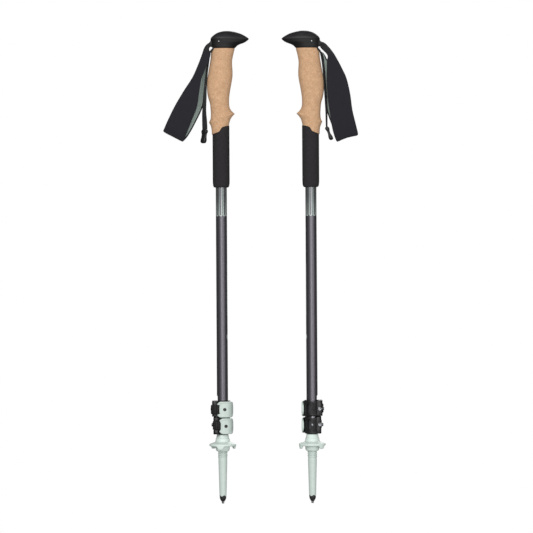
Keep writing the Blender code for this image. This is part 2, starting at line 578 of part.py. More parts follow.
def make_strap(side, pivot, stations, tail, front):
    """The padded wrist loop with its lining, and the adjusting tail with its pull tab."""
    outer = [on_side(a, front) for a, _ in stations]
    inner = [on_side(b, front) for _, b in stations]
    padded = range(WEBBING_STATIONS, len(stations) - WEBBING_STATIONS)
    thick = [BAND_THICK if i in padded else WEB_THICK for i in range(len(stations))]
    band = ribbon(outer, inner, thick, 3)
    mesh_object(side + "strap_band", band, pivot, "strap_black", smooth_angle=60)

    # The lining lies on the loop's inside, which is on opposite sides of the band for the two poles.
    inside = front * (BAND_THICK / 2 + LINING_GAP + LINING_THICK / 2)
    lining = ribbon(outer, inner, [LINING_THICK] * len(stations), 3, offset=inside, inset=1.2,
                    stations=(WEBBING_STATIONS + 1, len(stations) - WEBBING_STATIONS - 2))
    mesh_object(side + "strap_lining", lining, pivot, "lining_mint", smooth_angle=60)

    near, far = [], []
    for x, z, distance, degrees in tail:
        centre = Vector(on_side((x, z, distance), front))
        turn = math.radians(degrees)
        half = Vector((math.sin(turn), front * math.cos(turn), 0)) * TAIL_WIDTH / 2
        near.append(tuple(centre + half))
        far.append(tuple(centre - half))
    web = ribbon(near, far, [TAIL_THICK] * len(tail), 2)
    mesh_object(side + "strap_tail", web, pivot, "strap_black")

    end = Vector(on_side(tail[-1][:3], front))
    along = (end - Vector(on_side(tail[-2][:3], front))).normalized()
    across = (Vector(near[-1]) - Vector(far[-1])).normalized()
    normal = along.cross(across).normalized()
    rings = []
    for distance, width, thick_here in ((GAP, 0.72, 0.6), (2.0, 0.95, 0.9), (7.0, 1.0, 1.0),
                                        (15.0, 0.92, 0.8), (TAB_LENGTH - 1, 0.8, 0.55),
                                        (TAB_LENGTH, 0.6, 0.35)):
        centre = end + along * distance
        ring = []
        for k in range(12):
            angle = 2 * math.pi * k / 12
            c, s = math.cos(angle), math.sin(angle)
            ring.append(centre
                        + across * math.copysign(abs(c) ** 0.7, c) * width * TAB_WIDTH / 2
                        + normal * math.copysign(abs(s) ** 0.7, s) * thick_here * TAB_THICK / 2)
        rings.append(ring)
    mesh_object(side + "strap_tab", lofted(rings), pivot, "clamp_plastic", smooth_angle=60)


# ---- a whole pole ----------------------------------------------------------------------------
def make_pole(side, at_x, turn, strap, tail, front):
    """One pole. Its empties hold the pieces that move together, each on its joint's axis."""
    upper = pole_empty(side + "upper_section", at_x, turn)
    middle = pivot_empty(side + "middle_section", upper)
    lower = pivot_empty(side + "lower_section", middle)
    basket_pivot = pivot_empty(side + "basket_pivot", lower)
    wedge_slide = pivot_empty(side + "wedge_slide", upper)
    strap_pivot = pivot_empty(side + "strap_pivot", upper, STRAP_PIVOT)

    make_tip(side, lower, basket_pivot)
    make_shafts(side, upper, middle, lower)
    make_grip(side, upper)
    make_head(side, upper, wedge_slide)
    make_anchor(side, upper)
    make_strap(side, strap_pivot, strap, tail, front)
    make_clamp(side + "upper", UPPER_CLAMP, UPPER_R, UPPER_COLLAR_R, UPPER_PLATE, UPPER_CAM, upper)
    make_clamp(side + "lower", LOWER_CLAMP, MIDDLE_R, LOWER_COLLAR_R, LOWER_PLATE, LOWER_CAM, middle)


clear_scene()
make_pole("left_", 0, 0, LEFT_STRAP, LEFT_TAIL, -1)
make_pole("right_", POLE_SPACING, math.pi, RIGHT_STRAP, RIGHT_TAIL, 1)
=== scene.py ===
"""The looks of a pair of packed-up trekking poles, built round the CAD frame.

Each piece is modelled in its own pole's frame, in millimetres: x to the front of the grip, the way
its beak points, z up from the carbide tip and y across. The left pole's front is world +X, and the
right pole is turned half a turn, so its object keeps the same local coordinates. Materials read
those local coordinates, or the UV map on straps, whose u runs across and v along the strap in metres.
"""

import math

import bmesh
import bpy
from mathutils import Matrix, Vector


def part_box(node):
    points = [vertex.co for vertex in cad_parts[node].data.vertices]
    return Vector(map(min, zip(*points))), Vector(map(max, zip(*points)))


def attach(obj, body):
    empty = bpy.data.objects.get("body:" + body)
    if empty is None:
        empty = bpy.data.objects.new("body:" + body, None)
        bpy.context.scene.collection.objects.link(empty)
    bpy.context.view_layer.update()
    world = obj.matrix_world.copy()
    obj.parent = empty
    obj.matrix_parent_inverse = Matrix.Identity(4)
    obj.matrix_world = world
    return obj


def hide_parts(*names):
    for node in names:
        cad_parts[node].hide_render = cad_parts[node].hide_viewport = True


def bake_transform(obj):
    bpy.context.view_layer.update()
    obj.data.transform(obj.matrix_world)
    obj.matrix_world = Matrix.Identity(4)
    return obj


MM = 0.001
SIDES = ("left", "right")

# ---- the frame ----
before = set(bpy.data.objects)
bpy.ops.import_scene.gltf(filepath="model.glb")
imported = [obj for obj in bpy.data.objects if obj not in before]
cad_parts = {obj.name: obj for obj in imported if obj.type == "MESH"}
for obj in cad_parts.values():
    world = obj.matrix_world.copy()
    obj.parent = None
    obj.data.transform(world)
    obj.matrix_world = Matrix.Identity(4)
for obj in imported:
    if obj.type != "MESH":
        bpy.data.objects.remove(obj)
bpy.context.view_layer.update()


def levels_of(node):
    """Lowest and highest z of a CAD node, in millimetres."""
    low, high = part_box(node)
    return low.z / MM, high.z / MM


POLE_AT = {side: sum(corner.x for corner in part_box(side + "_carbide_tip")) / 2 for side in SIDES}
FRONT = {"left": 1, "right": -1}          # sign of world x at the front of the grip
POLE_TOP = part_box("left_head_cap")[1].z

# sizes of the CAD, in millimetres
UPPER_R, MIDDLE_R, LOWER_R = 8.0, 7.0, 6.0
WALL = 0.7
FOAM_BOTTOM = levels_of("left_foam_grip")[0]
FOAM_R = 12.2
PARTING = levels_of("left_head_base")[1]
PIN_X, PIN_Y = -10.8, -11.5               # axis of a clamp lever's pin


# ---- camera, lights and stage ----
def aim(obj, target, roll=0.0):
    """Turns a camera or light at obj.location to face target."""
    away = Vector(target) - obj.location
    turn = away.to_track_quat("-Z", "Y").to_matrix().to_4x4()
    obj.rotation_euler = (turn @ Matrix.Rotation(roll, 4, "Z")).to_euler()


LENS, SENSOR, LENS_ROLL = 187.6, 36.0, -0.33     # two in millimetres, the roll in degrees
CAMERA_Y, CAMERA_Z = -4.0, 0.341                 # metres
MIDDLE_X = (POLE_AT["left"] + POLE_AT["right"]) / 2


def make_camera():
    """A long lens at the poles' middle height, rolled as little as the poles lean in view."""
    data = bpy.data.cameras.new("camera")
    data.sensor_width, data.lens = SENSOR, LENS
    data.clip_start, data.clip_end = 0.1, 60.0
    camera = bpy.data.objects.new("camera", data)
    bpy.context.scene.collection.objects.link(camera)
    camera.location = (MIDDLE_X, CAMERA_Y, CAMERA_Z)
    aim(camera, (MIDDLE_X, 0.0, CAMERA_Z), roll=math.radians(LENS_ROLL))
    bpy.context.scene.camera = camera


def make_softbox(name, location, size, power):
    data = bpy.data.lights.new(name, "AREA")
    data.shape, data.size, data.size_y = "RECTANGLE", size[0], size[1]
    data.energy = power
    light = bpy.data.objects.new(name, data)
    bpy.context.scene.collection.objects.link(light)
    light.location = location
    aim(light, (MIDDLE_X, 0.0, POLE_TOP / 2))


def make_world(seen, lit, mirrored):
    """Plain white as seen, with a grey room that lights the object and a darker one that it mirrors."""
    world = bpy.data.worlds.new("studio")
    world.use_nodes = True
    bpy.context.scene.world = world
    tree = world.node_tree
    tree.nodes.remove(tree.nodes["Background"])
    path = tree.nodes.new("ShaderNodeLightPath")

    def background(level):
        node = tree.nodes.new("ShaderNodeBackground")
        node.inputs["Color"].default_value = (level, level, level, 1.0)
        return node.outputs[0]

    def pick(ray, usual, special):
        node = tree.nodes.new("ShaderNodeMixShader")
        tree.links.new(path.outputs[ray], node.inputs[0])
        tree.links.new(usual, node.inputs[1])
        tree.links.new(special, node.inputs[2])
        return node.outputs[0]

    room = pick("Is Glossy Ray", background(lit), background(mirrored))
    whole = pick("Is Camera Ray", room, background(seen))
    tree.links.new(whole, tree.nodes["World Output"].inputs["Surface"])


def make_studio():
    make_camera()
    make_world(seen=1.0, lit=0.36, mirrored=0.10)
    make_softbox("key", (-1.1, -3.0, 1.9), (1.4, 1.4), 54)
    make_softbox("front", (0.15, -3.9, 0.5), (0.9, 1.6), 42)
    make_softbox("fill", (1.9, -2.6, 0.1), (1.4, 1.4), 21)
    make_softbox("back", (0.6, 3.2, 1.6), (1.8, 1.8), 40)
    bpy.context.scene.view_settings.view_transform = "Standard"


# ---- materials ----
def rgb(red, green, blue):
    """A display colour, 0 to 255, as a linear one."""
    def linear(value):
        value /= 255
        return value / 12.92 if value <= 0.04045 else ((value + 0.055) / 1.055) ** 2.4

    return (linear(red), linear(green), linear(blue), 1.0)


class Shade:
    """A Principled material with short ways to add the nodes that drive it."""

    def __init__(self, name, **sockets):
        self.material = bpy.data.materials.new(name)
        self.material.use_nodes = True
        self.tree = self.material.node_tree
        self.shader = self.tree.nodes["Principled BSDF"]
        for socket, value in sockets.items():
            self.feed(self.shader.inputs[socket.replace("_", " ")], value)
        self.normal = None

    def feed(self, socket, value):
        if isinstance(value, bpy.types.NodeSocket):
            self.tree.links.new(value, socket)
        else:
            socket.default_value = value

    def add(self, kind, inputs, **settings):
        node = self.tree.nodes.new("ShaderNode" + kind)
        for name, value in settings.items():
            setattr(node, name, value)
        for key, value in inputs.items():
            self.feed(node.inputs[key], value)
        return node

    def in_mm(self, vector, stretch):
        scale = tuple(s / MM for s in stretch)
        return self.add("VectorMath", {0: vector, 1: scale}, operation="MULTIPLY").outputs[0]

    def here(self, stretch=(1, 1, 1)):
        """Local coordinates in millimetres, each times its stretch."""
        return self.in_mm(self.add("TexCoord", {}).outputs["Object"], stretch)

    def uv(self, stretch=(1, 1, 1), name="strap"):
        """The strap's UV in millimetres, each times its stretch. On the map "rim", u is measured
        inwards from the strap's nearest edge."""
        return self.in_mm(self.add("UVMap", {}, uv_map=name).outputs["UV"], stretch)

    def axes(self, vector):
        return self.add("SeparateXYZ", {0: vector}).outputs

    def math(self, operation, a, b=0.0):
        return self.add("Math", {0: a, 1: b}, operation=operation).outputs[0]

    def plus(self, a, b):
        return self.math("ADD", a, b)

    def minus(self, a, b):
        return self.math("SUBTRACT", a, b)

    def times(self, a, b):
        return self.math("MULTIPLY", a, b)

    def less(self, a, b):
        return self.math("LESS_THAN", a, b)

    def more(self, a, b):
        return self.math("GREATER_THAN", a, b)

    def off(self, a, b):
        """How far a is from b."""
        return self.math("ABSOLUTE", self.minus(a, b))

    def sawtooth(self, value, period):
        """Rises from 0 to 1 in each period."""
        return self.math("FRACT", self.math("DIVIDE", value, period))

    def wave(self, value, period):
        return self.math("SINE", self.times(value, 2 * math.pi / period))

    def length(self, a, b):
        """How long the plane vector (a, b) is."""
        return self.math("SQRT", self.plus(self.math("POWER", a, 2.0), self.math("POWER", b, 2.0)))

    def noise(self, vector, size, detail=3.0):
        """Noise whose features are about `size` millimetres."""
        return self.add("TexNoise", {"Vector": vector, "Scale": 1 / size, "Detail": detail,
                                     "Roughness": 0.55}).outputs["Fac"]

    def cells(self, vector, size, output="Distance", feature="F1"):
        return self.add("TexVoronoi", {"Vector": vector, "Scale": 1 / size},
                        feature=feature).outputs[output]

    def ramp(self, value, *stops):
        """Colours or numbers at positions along a value, blended between."""
        node = self.add("ValToRGB", {0: value})
        band = node.color_ramp
        while len(band.elements) < len(stops):
            band.elements.new(0.5)
        for element, (position, colour) in zip(band.elements, stops):
            element.position = position
            element.color = colour if isinstance(colour, tuple) else (colour,) * 3 + (1.0,)
        return node.outputs["Color"]

    def span(self, value, low, high):
        """A ramp from low to high over the middle of a noise's range."""
        return self.ramp(value, (0.3, low), (0.7, high))

    def mix(self, share, a, b, blend="MIX"):
        node = self.add("Mix", {0: share, 6: a, 7: b}, data_type="RGBA", blend_type=blend)
        return node.outputs[2]

    def bump(self, height, depth):
        """Raises the surface by height times depth, in millimetres, on top of earlier bumps."""
        node = self.add("Bump", {"Height": height, "Distance": depth * MM, "Strength": 1.0})
        if self.normal is not None:
            self.feed(node.inputs["Normal"], self.normal)
        self.normal = node.outputs["Normal"]
        self.feed(self.shader.inputs["Normal"], self.normal)

    def colour(self, value):
        self.feed(self.shader.inputs["Base Color"], value)

    def roughness(self, value):
        self.feed(self.shader.inputs["Roughness"], value)


def cork_material():
    """Pressed cork: granules of 1 to 2 mm in warm tans, dark specks and fine pits between them."""
    m = Shade("cork", Specular_IOR_Level=0.25)
    here = m.here()
    shift = m.add("TexNoise", {"Vector": here, "Scale": 1.1}).outputs[1]
    warped = m.add("VectorMath", {0: here, 1: shift}, operation="ADD").outputs[0]
    tone = m.axes(m.cells(warped, 0.8, "Color"))[0]
    tan = m.ramp(tone, (0.0, rgb(198, 154, 116)), (0.3, rgb(206, 165, 128)),
                 (0.7, rgb(212, 173, 137)), (1.0, rgb(219, 184, 150)))
    patches = m.ramp(m.noise(here, 6.0, 3.0), (0.35, 0.90), (0.65, 1.03))
    tan = m.mix(1.0, tan, patches, "MULTIPLY")
    seams = m.ramp(m.cells(warped, 0.8, feature="DISTANCE_TO_EDGE"), (0.0, 1.0), (0.14, 0.0))
    tan = m.mix(m.times(seams, 0.22), tan, rgb(160, 108, 70))
    specks = m.ramp(m.noise(here, 0.55, 2.0), (0.60, 0.0), (0.70, 1.0))
    tan = m.mix(m.times(specks, 0.40), tan, rgb(150, 98, 62))
    m.colour(tan)
    m.roughness(m.ramp(tone, (0.0, 0.92), (1.0, 0.74)))
    m.bump(seams, -0.10)
    m.bump(m.noise(here, 0.5, 4.0), 0.10)
    return m.material


def foam_material():
    """Closed-cell foam: near black, matt, with a fine pebbled skin."""
    m = Shade("foam", Specular_IOR_Level=0.22)
    here = m.here()
    mottle = m.noise(here, 3.0, 4.0)
    m.colour(m.span(mottle, rgb(38, 36, 38), rgb(47, 45, 47)))
    m.roughness(m.span(mottle, 0.86, 0.98))
    m.bump(m.cells(here, 0.42), 0.06)
    m.bump(m.noise(here, 0.9, 4.0), 0.10)
    return m.material


def soft_touch_material(name, dark, light, roughness, grain, depth):
    """Moulded plastic: a fine spark-eroded grain with faint, larger changes of tone and gloss."""
    m = Shade(name, Specular_IOR_Level=0.45)
    here = m.here()
    cloud = m.noise(here, 7.0, 3.0)
    m.colour(m.span(cloud, rgb(*dark), rgb(*light)))
    m.roughness(m.span(cloud, roughness - 0.05, roughness + 0.06))
    m.bump(m.noise(here, grain, 3.0), depth)
    return m.material


STRIPES, STRIPE_HALF, STRIPE_BOTTOM = 9, 1.55, 415.6
TICKS_BOTTOM, TICKS_TOP, TICK_PITCH, TICK_HALF = 270.0, 346.0, 2.4, 3.4
DOT_Z, DOT_R = 240.0, 4.4
PRINT = rgb(196, 210, 203)


def printed_shaft_material(turn):
    """The upper tube: dark anodised, with a ring of long mint loops under the foam and a row of
    plain ticks with a dot below it on the front side."""
    m = Shade("shaft_printed", Specular_IOR_Level=0.5)
    x, y, z = m.axes(m.here())[:3]
    fine = m.noise(m.here((1, 1, 0.05)), 0.35, 3.0)
    base = m.span(fine, rgb(100, 97, 103), rgb(104, 102, 108))

    angle = m.math("ARCTAN2", y, x)
    share = m.times(m.plus(angle, turn), STRIPES / (2 * math.pi))
    nearest = m.minus(share, m.math("ROUND", share))
    across = m.times(nearest, 2 * math.pi * UPPER_R / STRIPES)
    below = m.math("MINIMUM", m.minus(z, STRIPE_BOTTOM), 0.0)
    reach = m.length(across, below)
    on_line = m.ramp(m.off(reach, STRIPE_HALF), (0.42, 1.0), (0.62, 0.0))
    fade = m.add("MapRange", {0: z, 1: STRIPE_BOTTOM, 2: FOAM_BOTTOM - 12, 3: 0.85, 4: 0.25})
    zone = m.more(z, STRIPE_BOTTOM - STRIPE_HALF)
    field = m.times(zone, m.more(reach, STRIPE_HALF))
    base = m.mix(m.times(field, 0.5), base, rgb(122, 134, 129))
    ink = m.times(on_line, fade.outputs[0])

    side = m.math("ABSOLUTE", m.times(angle, UPPER_R))
    ticks = m.less(m.sawtooth(z, TICK_PITCH), 0.34)
    rows = m.times(m.more(z, TICKS_BOTTOM), m.less(z, TICKS_TOP))
    ticks = m.times(m.times(ticks, rows), m.less(side, TICK_HALF))
    dot = m.less(m.length(side, m.minus(z, DOT_Z)), DOT_R)
    ink = m.math("MAXIMUM", ink, m.times(m.math("MAXIMUM", ticks, dot), 0.85))

    m.colour(m.mix(ink, base, PRINT))
    m.feed(m.shader.inputs["Metallic"], m.minus(0.85, m.times(ink, 0.8)))
    m.roughness(m.span(fine, 0.38, 0.44))
    m.bump(fine, 0.004)
    m.bump(ink, 0.02)
    return m.material


def inner_shaft_material():
    """The telescopic tubes: brushed along their length, with plain length rings every 50 mm."""
    m = Shade("shaft_inner", Metallic=0.9)
    z = m.axes(m.here())[2]
    fine = m.noise(m.here((1, 1, 0.04)), 0.3, 3.0)
    ring = m.less(m.sawtooth(z, 50.0), 0.016)
    base = m.span(fine, rgb(120, 118, 124), rgb(136, 134, 140))
    m.colour(m.mix(m.times(ring, 0.8), base, PRINT))
    m.roughness(m.span(fine, 0.3, 0.42))
    m.bump(fine, 0.01)
    return m.material


def steel_material(name, colour, roughness):
    """Bare steel with fine marks."""
    m = Shade(name, Metallic=1.0)
    marks = m.noise(m.here(), 0.25, 3.0)
    dark = tuple(c * 0.8 for c in colour[:3]) + (1.0,)
    m.colour(m.span(marks, dark, colour))
    m.roughness(m.span(marks, roughness, roughness + 0.14))
    m.bump(marks, 0.015)
    return m.material


def knit_material():
    """The band's outer face: a close navy-black knit with a line of stitches along each edge."""
    m = Shade("knit_black", Specular_IOR_Level=0.25, Sheen_Weight=0.10, Sheen_Roughness=0.5)
    across, along = m.axes(m.uv())[:2]
    cloud = m.noise(m.uv(), 9.0, 3.0)
    inwards = m.axes(m.uv(name="rim"))[0]
    weave = m.times(m.wave(across, 0.55), m.wave(along, 0.7))
    cloth = m.span(cloud, rgb(27, 26, 32), rgb(33, 32, 38))
    # the raised yarn of the weave is painted lighter: a painted highlight on the knit's tops
    m.colour(m.mix(m.times(m.plus(weave, 1.0), 0.12), cloth, rgb(54, 53, 62)))
    m.roughness(m.span(cloud, 0.82, 0.95))
    m.bump(weave, 0.05)
    seam_in, stitch = 1.9, 2.6            # from the edge to the seam, and a stitch's length
    seam = m.ramp(m.off(inwards, seam_in), (0.0, 1.0), (0.35, 0.0))
    dash = m.more(m.sawtooth(along, stitch), 0.22)
    m.bump(m.times(seam, dash), -0.25)
    return m.material


def webbing_material():
    """Woven webbing: rows of chevrons in fine yarn."""
    m = Shade("webbing_black", Specular_IOR_Level=0.3, Sheen_Weight=0.08)
    across, along = m.axes(m.uv())[:2]
    folded = m.math("PINGPONG", across, 2.4)
    twill = m.wave(m.plus(along, folded), 1.1)
    cloud = m.noise(m.uv(), 5.0, 3.0)
    cloth = m.span(cloud, rgb(24, 23, 26), rgb(31, 30, 33))
    # the raised twill ridges are painted lighter: a painted highlight on the webbing's yarn
    m.colour(m.mix(m.times(m.plus(twill, 1.0), 0.12), cloth, rgb(56, 55, 61)))
    m.roughness(m.span(cloud, 0.70, 0.86))
    m.bump(twill, 0.08)
    return m.material


def lining_material():
    """The mint lining: fine ribs along the strap, with a soft nap."""
    m = Shade("lining_mint", Specular_IOR_Level=0.2, Sheen_Weight=0.15)
    across, along = m.axes(m.uv())[:2]
    rib = m.wave(across, 0.65)
    slub = m.noise(m.uv((1, 0.15, 1)), 0.6, 3.0)
    cloth = m.span(slub, rgb(172, 187, 180), rgb(192, 205, 199))
    # the hollows between the ribs are painted darker: painted shade between the ribs
    m.colour(m.mix(m.times(m.plus(rib, 1.0), 0.5), rgb(150, 164, 158), cloth))
    m.roughness(0.92)
    m.bump(rib, 0.12)
    m.bump(slub, 0.05)
    return m.material


PLASTICS = {
    # name, its darkest and lightest tone, roughness, size of its grain and the grain's depth
    "head": ("head_plastic", (34, 32, 34), (41, 39, 42), 0.56, 0.35, 0.03),
    # near-black plastic, darkened well below the dome's tone as painted shade on the head's underside
    "base": ("head_base", (12, 11, 13), (17, 16, 18), 0.6, 0.35, 0.03),
    # near-black plastic for the lever cores; on the wedge its extra darkness is painted shade in the
    # strap's gap
    "dark": ("dark_plastic_and_shade", (9, 8, 10), (14, 13, 15), 0.66, 0.5, 0.05),
    "basket": ("mint_basket", (211, 225, 218), (219, 232, 225), 0.46, 0.4, 0.02),
    "clamp": ("clamp_plastic", (23, 22, 24), (31, 30, 32), 0.44, 0.4, 0.03),
    "core": ("core_plastic", (52, 52, 53), (62, 62, 64), 0.6, 0.5, 0.03),
    "mint_lever": ("mint_lever", (188, 202, 195), (197, 209, 203), 0.36, 0.4, 0.015),
    "mint_tip": ("mint_tip", (192, 206, 199), (201, 214, 207), 0.46, 0.4, 0.02),
    "nose": ("nose_plastic", (36, 35, 37), (46, 45, 48), 0.55, 0.4, 0.03),
}


def make_materials():
    return {
        **{key: soft_touch_material(*row) for key, row in PLASTICS.items()},
        "cork": cork_material(),
        "foam": foam_material(),
        "shaft_left": printed_shaft_material(math.radians(90 + 6.5)),
        "shaft_right": printed_shaft_material(math.radians(-90 + 4.5)),
        "shaft_inner": inner_shaft_material(),
        "steel": steel_material("steel", rgb(158, 160, 163), 0.36),
        "dark_steel": steel_material("dark_steel", rgb(96, 98, 102), 0.38),
        "carbide": steel_material("carbide", rgb(150, 150, 154), 0.34),
        "knit": knit_material(),
        "webbing": webbing_material(),
        "lining": lining_material(),
    }


# ---- modelling tools ----
def lofted(rings):
    """A solid through rings of points, which all have the same number of points."""
    bm = bmesh.new()
    loops = [[bm.verts.new(point) for point in ring] for ring in rings]
    count = len(loops[0])
    for low, high in zip(loops, loops[1:]):
        for i in range(count):
            j = (i + 1) % count
            bm.faces.new((low[i], low[j], high[j], high[i]))
    for loop in (loops[0], loops[-1]):
        centre = bm.verts.new(sum((v.co for v in loop), Vector()) / count)
        for i in range(count):
            bm.faces.new((loop[i], loop[(i + 1) % count], centre))
    return bm


def turned(profile, sides=96):
    """A solid of revolution about z. Its (radius, z) profile is a loop, or starts and ends on the
    axis, where its columns of points meet."""
    bm = bmesh.new()
    open_ended = profile[0][0] == 0
    poles = [bm.verts.new((0, 0, profile[k][1])) for k in (0, -1)] if open_ended else []
    rows = profile[1:-1] if open_ended else profile
    columns = []
    for i in range(sides):
        angle = 2 * math.pi * i / sides
        column = [bm.verts.new((r * math.cos(angle), r * math.sin(angle), z)) for r, z in rows]
        columns.append([poles[0], *column, poles[1]] if poles else [*column, column[0]])
    for here, there in zip(columns, columns[1:] + columns[:1]):
        for corners in zip(here, there, there[1:], here[1:]):
            bm.faces.new(dict.fromkeys(corners))
    return bm


def softened(points, radius, steps=4, loop=True):
    """A closed outline, or a polyline, with each corner rounded by a curve that starts `radius`
    from it."""
    made, count = [], len(points)
    for i, corner in enumerate(points):
        if not loop and i in (0, count - 1):
            made.append(tuple(corner))
            continue
        here = Vector(corner)
        ends = [Vector(points[i - 1]), Vector(points[(i + 1) % count])]
        before, after = (here + (end - here).normalized() * min(radius, (end - here).length * 0.48)
                         for end in ends)
        for k in range(steps + 1):
            t = k / steps
            made.append(tuple(before * (1 - t) ** 2 + here * 2 * t * (1 - t) + after * t**2))
    return made


def prism(outline, start, end, axis="z", edge=0.0):
    """An outline extruded along an axis, with its two end edges rounded off by `edge`.

    Along z the outline is (x, y), along y it is (x, z) and along x it is (y, z)."""
    centre = sum((Vector(p) for p in outline), Vector((0, 0))) / len(outline)
    reach = max((Vector(p) - centre).length for p in outline)

    def ring(level, inset):
        points = [centre + (Vector(p) - centre) * (1 - inset / reach) for p in outline]
        if axis == "z":
            return [(a, b, level) for a, b in points]
        if axis == "y":
            return [(a, level, b) for a, b in points]
        return [(level, a, b) for a, b in points]

    if not edge:
        return lofted([ring(start, 0), ring(end, 0)])
    sign = math.copysign(1, end - start)
    rings = [ring(start, edge), ring(start + sign * edge * 0.3, edge * 0.3),
             ring(start + sign * edge, 0), ring(end - sign * edge, 0),
             ring(end - sign * edge * 0.3, edge * 0.3), ring(end, edge)]
    return lofted(rings)


def circle(radius, x=0.0, y=0.0, count=32):
    return [(x + radius * math.cos(2 * math.pi * i / count),
             y + radius * math.sin(2 * math.pi * i / count)) for i in range(count)]


def squared(i, count, power_x, power_y):
    """Point i of `count` round a unit circle that is squared off by the two powers."""
    angle = 2 * math.pi * i / count
    c, s = math.cos(angle), math.sin(angle)
    return math.copysign(abs(c) ** power_x, c), math.copysign(abs(s) ** power_y, s)


def dome(centre, size):
    """An ellipsoid, for small bumps."""
    arc = [math.pi * i / 8 for i in range(1, 8)]
    bm = turned([(0, -1), *((math.sin(angle), -math.cos(angle)) for angle in arc), (0, 1)], 20)
    for vert in bm.verts:
        vert.co = Vector(centre) + Vector(a * b for a, b in zip(vert.co, size))
    return bm


def through(points, per_span):
    """Points along a Catmull-Rom curve through `points`, which may have any number of coordinates."""
    padded = [points[0], *points, points[-1]]
    made = []
    for i in range(1, len(padded) - 2):
        a, b, c, d = (Vector(p) for p in padded[i - 1:i + 3])
        for k in range(per_span):
            t = k / per_span
            made.append(0.5 * (2 * b + (c - a) * t + (2 * a - 5 * b + 4 * c - d) * t**2
                               + (3 * b - a - 3 * c + d) * t**3))
    made.append(Vector(points[-1]))
    return made


def joined(*parts):
    """Several bmeshes as one, each a body of its own."""
    whole = parts[0]
    for part in parts[1:]:
        mesh = bpy.data.meshes.new("part")
        part.to_mesh(mesh)
        part.free()
        whole.from_mesh(mesh)
        bpy.data.meshes.remove(mesh)
    return whole


def mesh_object(name, bm):
    bmesh.ops.recalc_face_normals(bm, faces=bm.faces[:])
    mesh = bpy.data.meshes.new(name)
    bm.to_mesh(mesh)
    bm.free()
    made = bpy.data.objects.new(name, mesh)
    bpy.context.scene.collection.objects.link(made)
    return made


def baked(obj):
    """Applies an object's modifiers to its mesh."""
    graph = bpy.context.evaluated_depsgraph_get()
    mesh = bpy.data.meshes.new_from_object(obj.evaluated_get(graph))
    obj.modifiers.clear()
    old, obj.data = obj.data, mesh
    bpy.data.meshes.remove(old)


def carved(bm, *cutters, added=None):
    """A bmesh after exact Booleans: first with one that is added to it, then with its cutters."""
    target = mesh_object("carving", bm)
    steps = [("UNION", added)] if added else []
    for operation, tool in steps + [("DIFFERENCE", cutter) for cutter in cutters]:
        helper = mesh_object("tool", tool)
        cut = target.modifiers.new("cut", "BOOLEAN")
        cut.operation, cut.solver, cut.object = operation, "EXACT", helper
        baked(target)
        bpy.data.objects.remove(helper)
    result = bmesh.new()
    result.from_mesh(target.data)
    bpy.data.objects.remove(target)
    bmesh.ops.remove_doubles(result, verts=result.verts[:], dist=0.002)
    return result


def piece(side, name, bm, body, slot, material, replaces=(), sharp=40, bevel=0.0, blend=None):
    """Finishes a bmesh as a named piece of one pole, riding on one of its bodies unless `blend` is
    given.
    """
    bmesh.ops.scale(bm, vec=(MM, MM, MM), verts=bm.verts[:])
    obj = mesh_object(f"{side}_{name}", bm)
    turn = Matrix.Identity(4) if FRONT[side] > 0 else Matrix.Rotation(math.pi, 4, "Z")
    obj.matrix_world = Matrix.Translation((POLE_AT[side], 0, 0)) @ turn
    if bevel:
        edge = obj.modifiers.new("edge", "BEVEL")
        edge.width, edge.segments, edge.limit_method = bevel * MM, 2, "ANGLE"
        edge.angle_limit = math.radians(sharp)
        baked(obj)
    obj.data.materials.clear()
    obj.data.materials.append(MATERIALS[material])
    obj.data.shade_smooth()
    obj.data.set_sharp_from_angle(angle=math.radians(sharp))
    if blend:
        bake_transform(obj)
    else:
        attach(obj, f"{side}_{body}")
    if replaces:
        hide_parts(*(f"{side}_{node}" for node in replaces))
    return obj


# ---- tip, ferrule and basket ----
THREAD_BOTTOM, THREAD_PITCH, THREAD_TURNS, ROOT_R, CREST_R = 65.9, 2.7, 3.6, 6.25, 7.0
FERRULE_END, TEETH, TOOTH_REACH, TOOTH_DEPTH = 11.0, 4, 3.0, 0.85
FLUTES, FLUTE_DEPTH, FLUTE_TOP = 8, 0.09, 10.5


def helix_ridge(bottom, pitch, turns, root, crest):
    """A screw thread's ridge, which fades in and out at its ends."""
    rings, steps = [], int(turns * 48)
    for i in range(steps + 1):
        angle = 2 * math.pi * turns * i / steps
        z = bottom + pitch * turns * i / steps
        fade = min(1.0, i / 10, (steps - i) / 10)
        top = root + (crest - root) * fade
        c, s = math.cos(angle), math.sin(angle)
        section = ((root - 0.5, -0.95), (root, -0.85), (top, -0.38), (top, 0.38), (root, 0.85),
                   (root - 0.5, 0.95))
        rings.append([(c * r, s * r, z + dz) for r, dz in section])
    return lofted(rings)


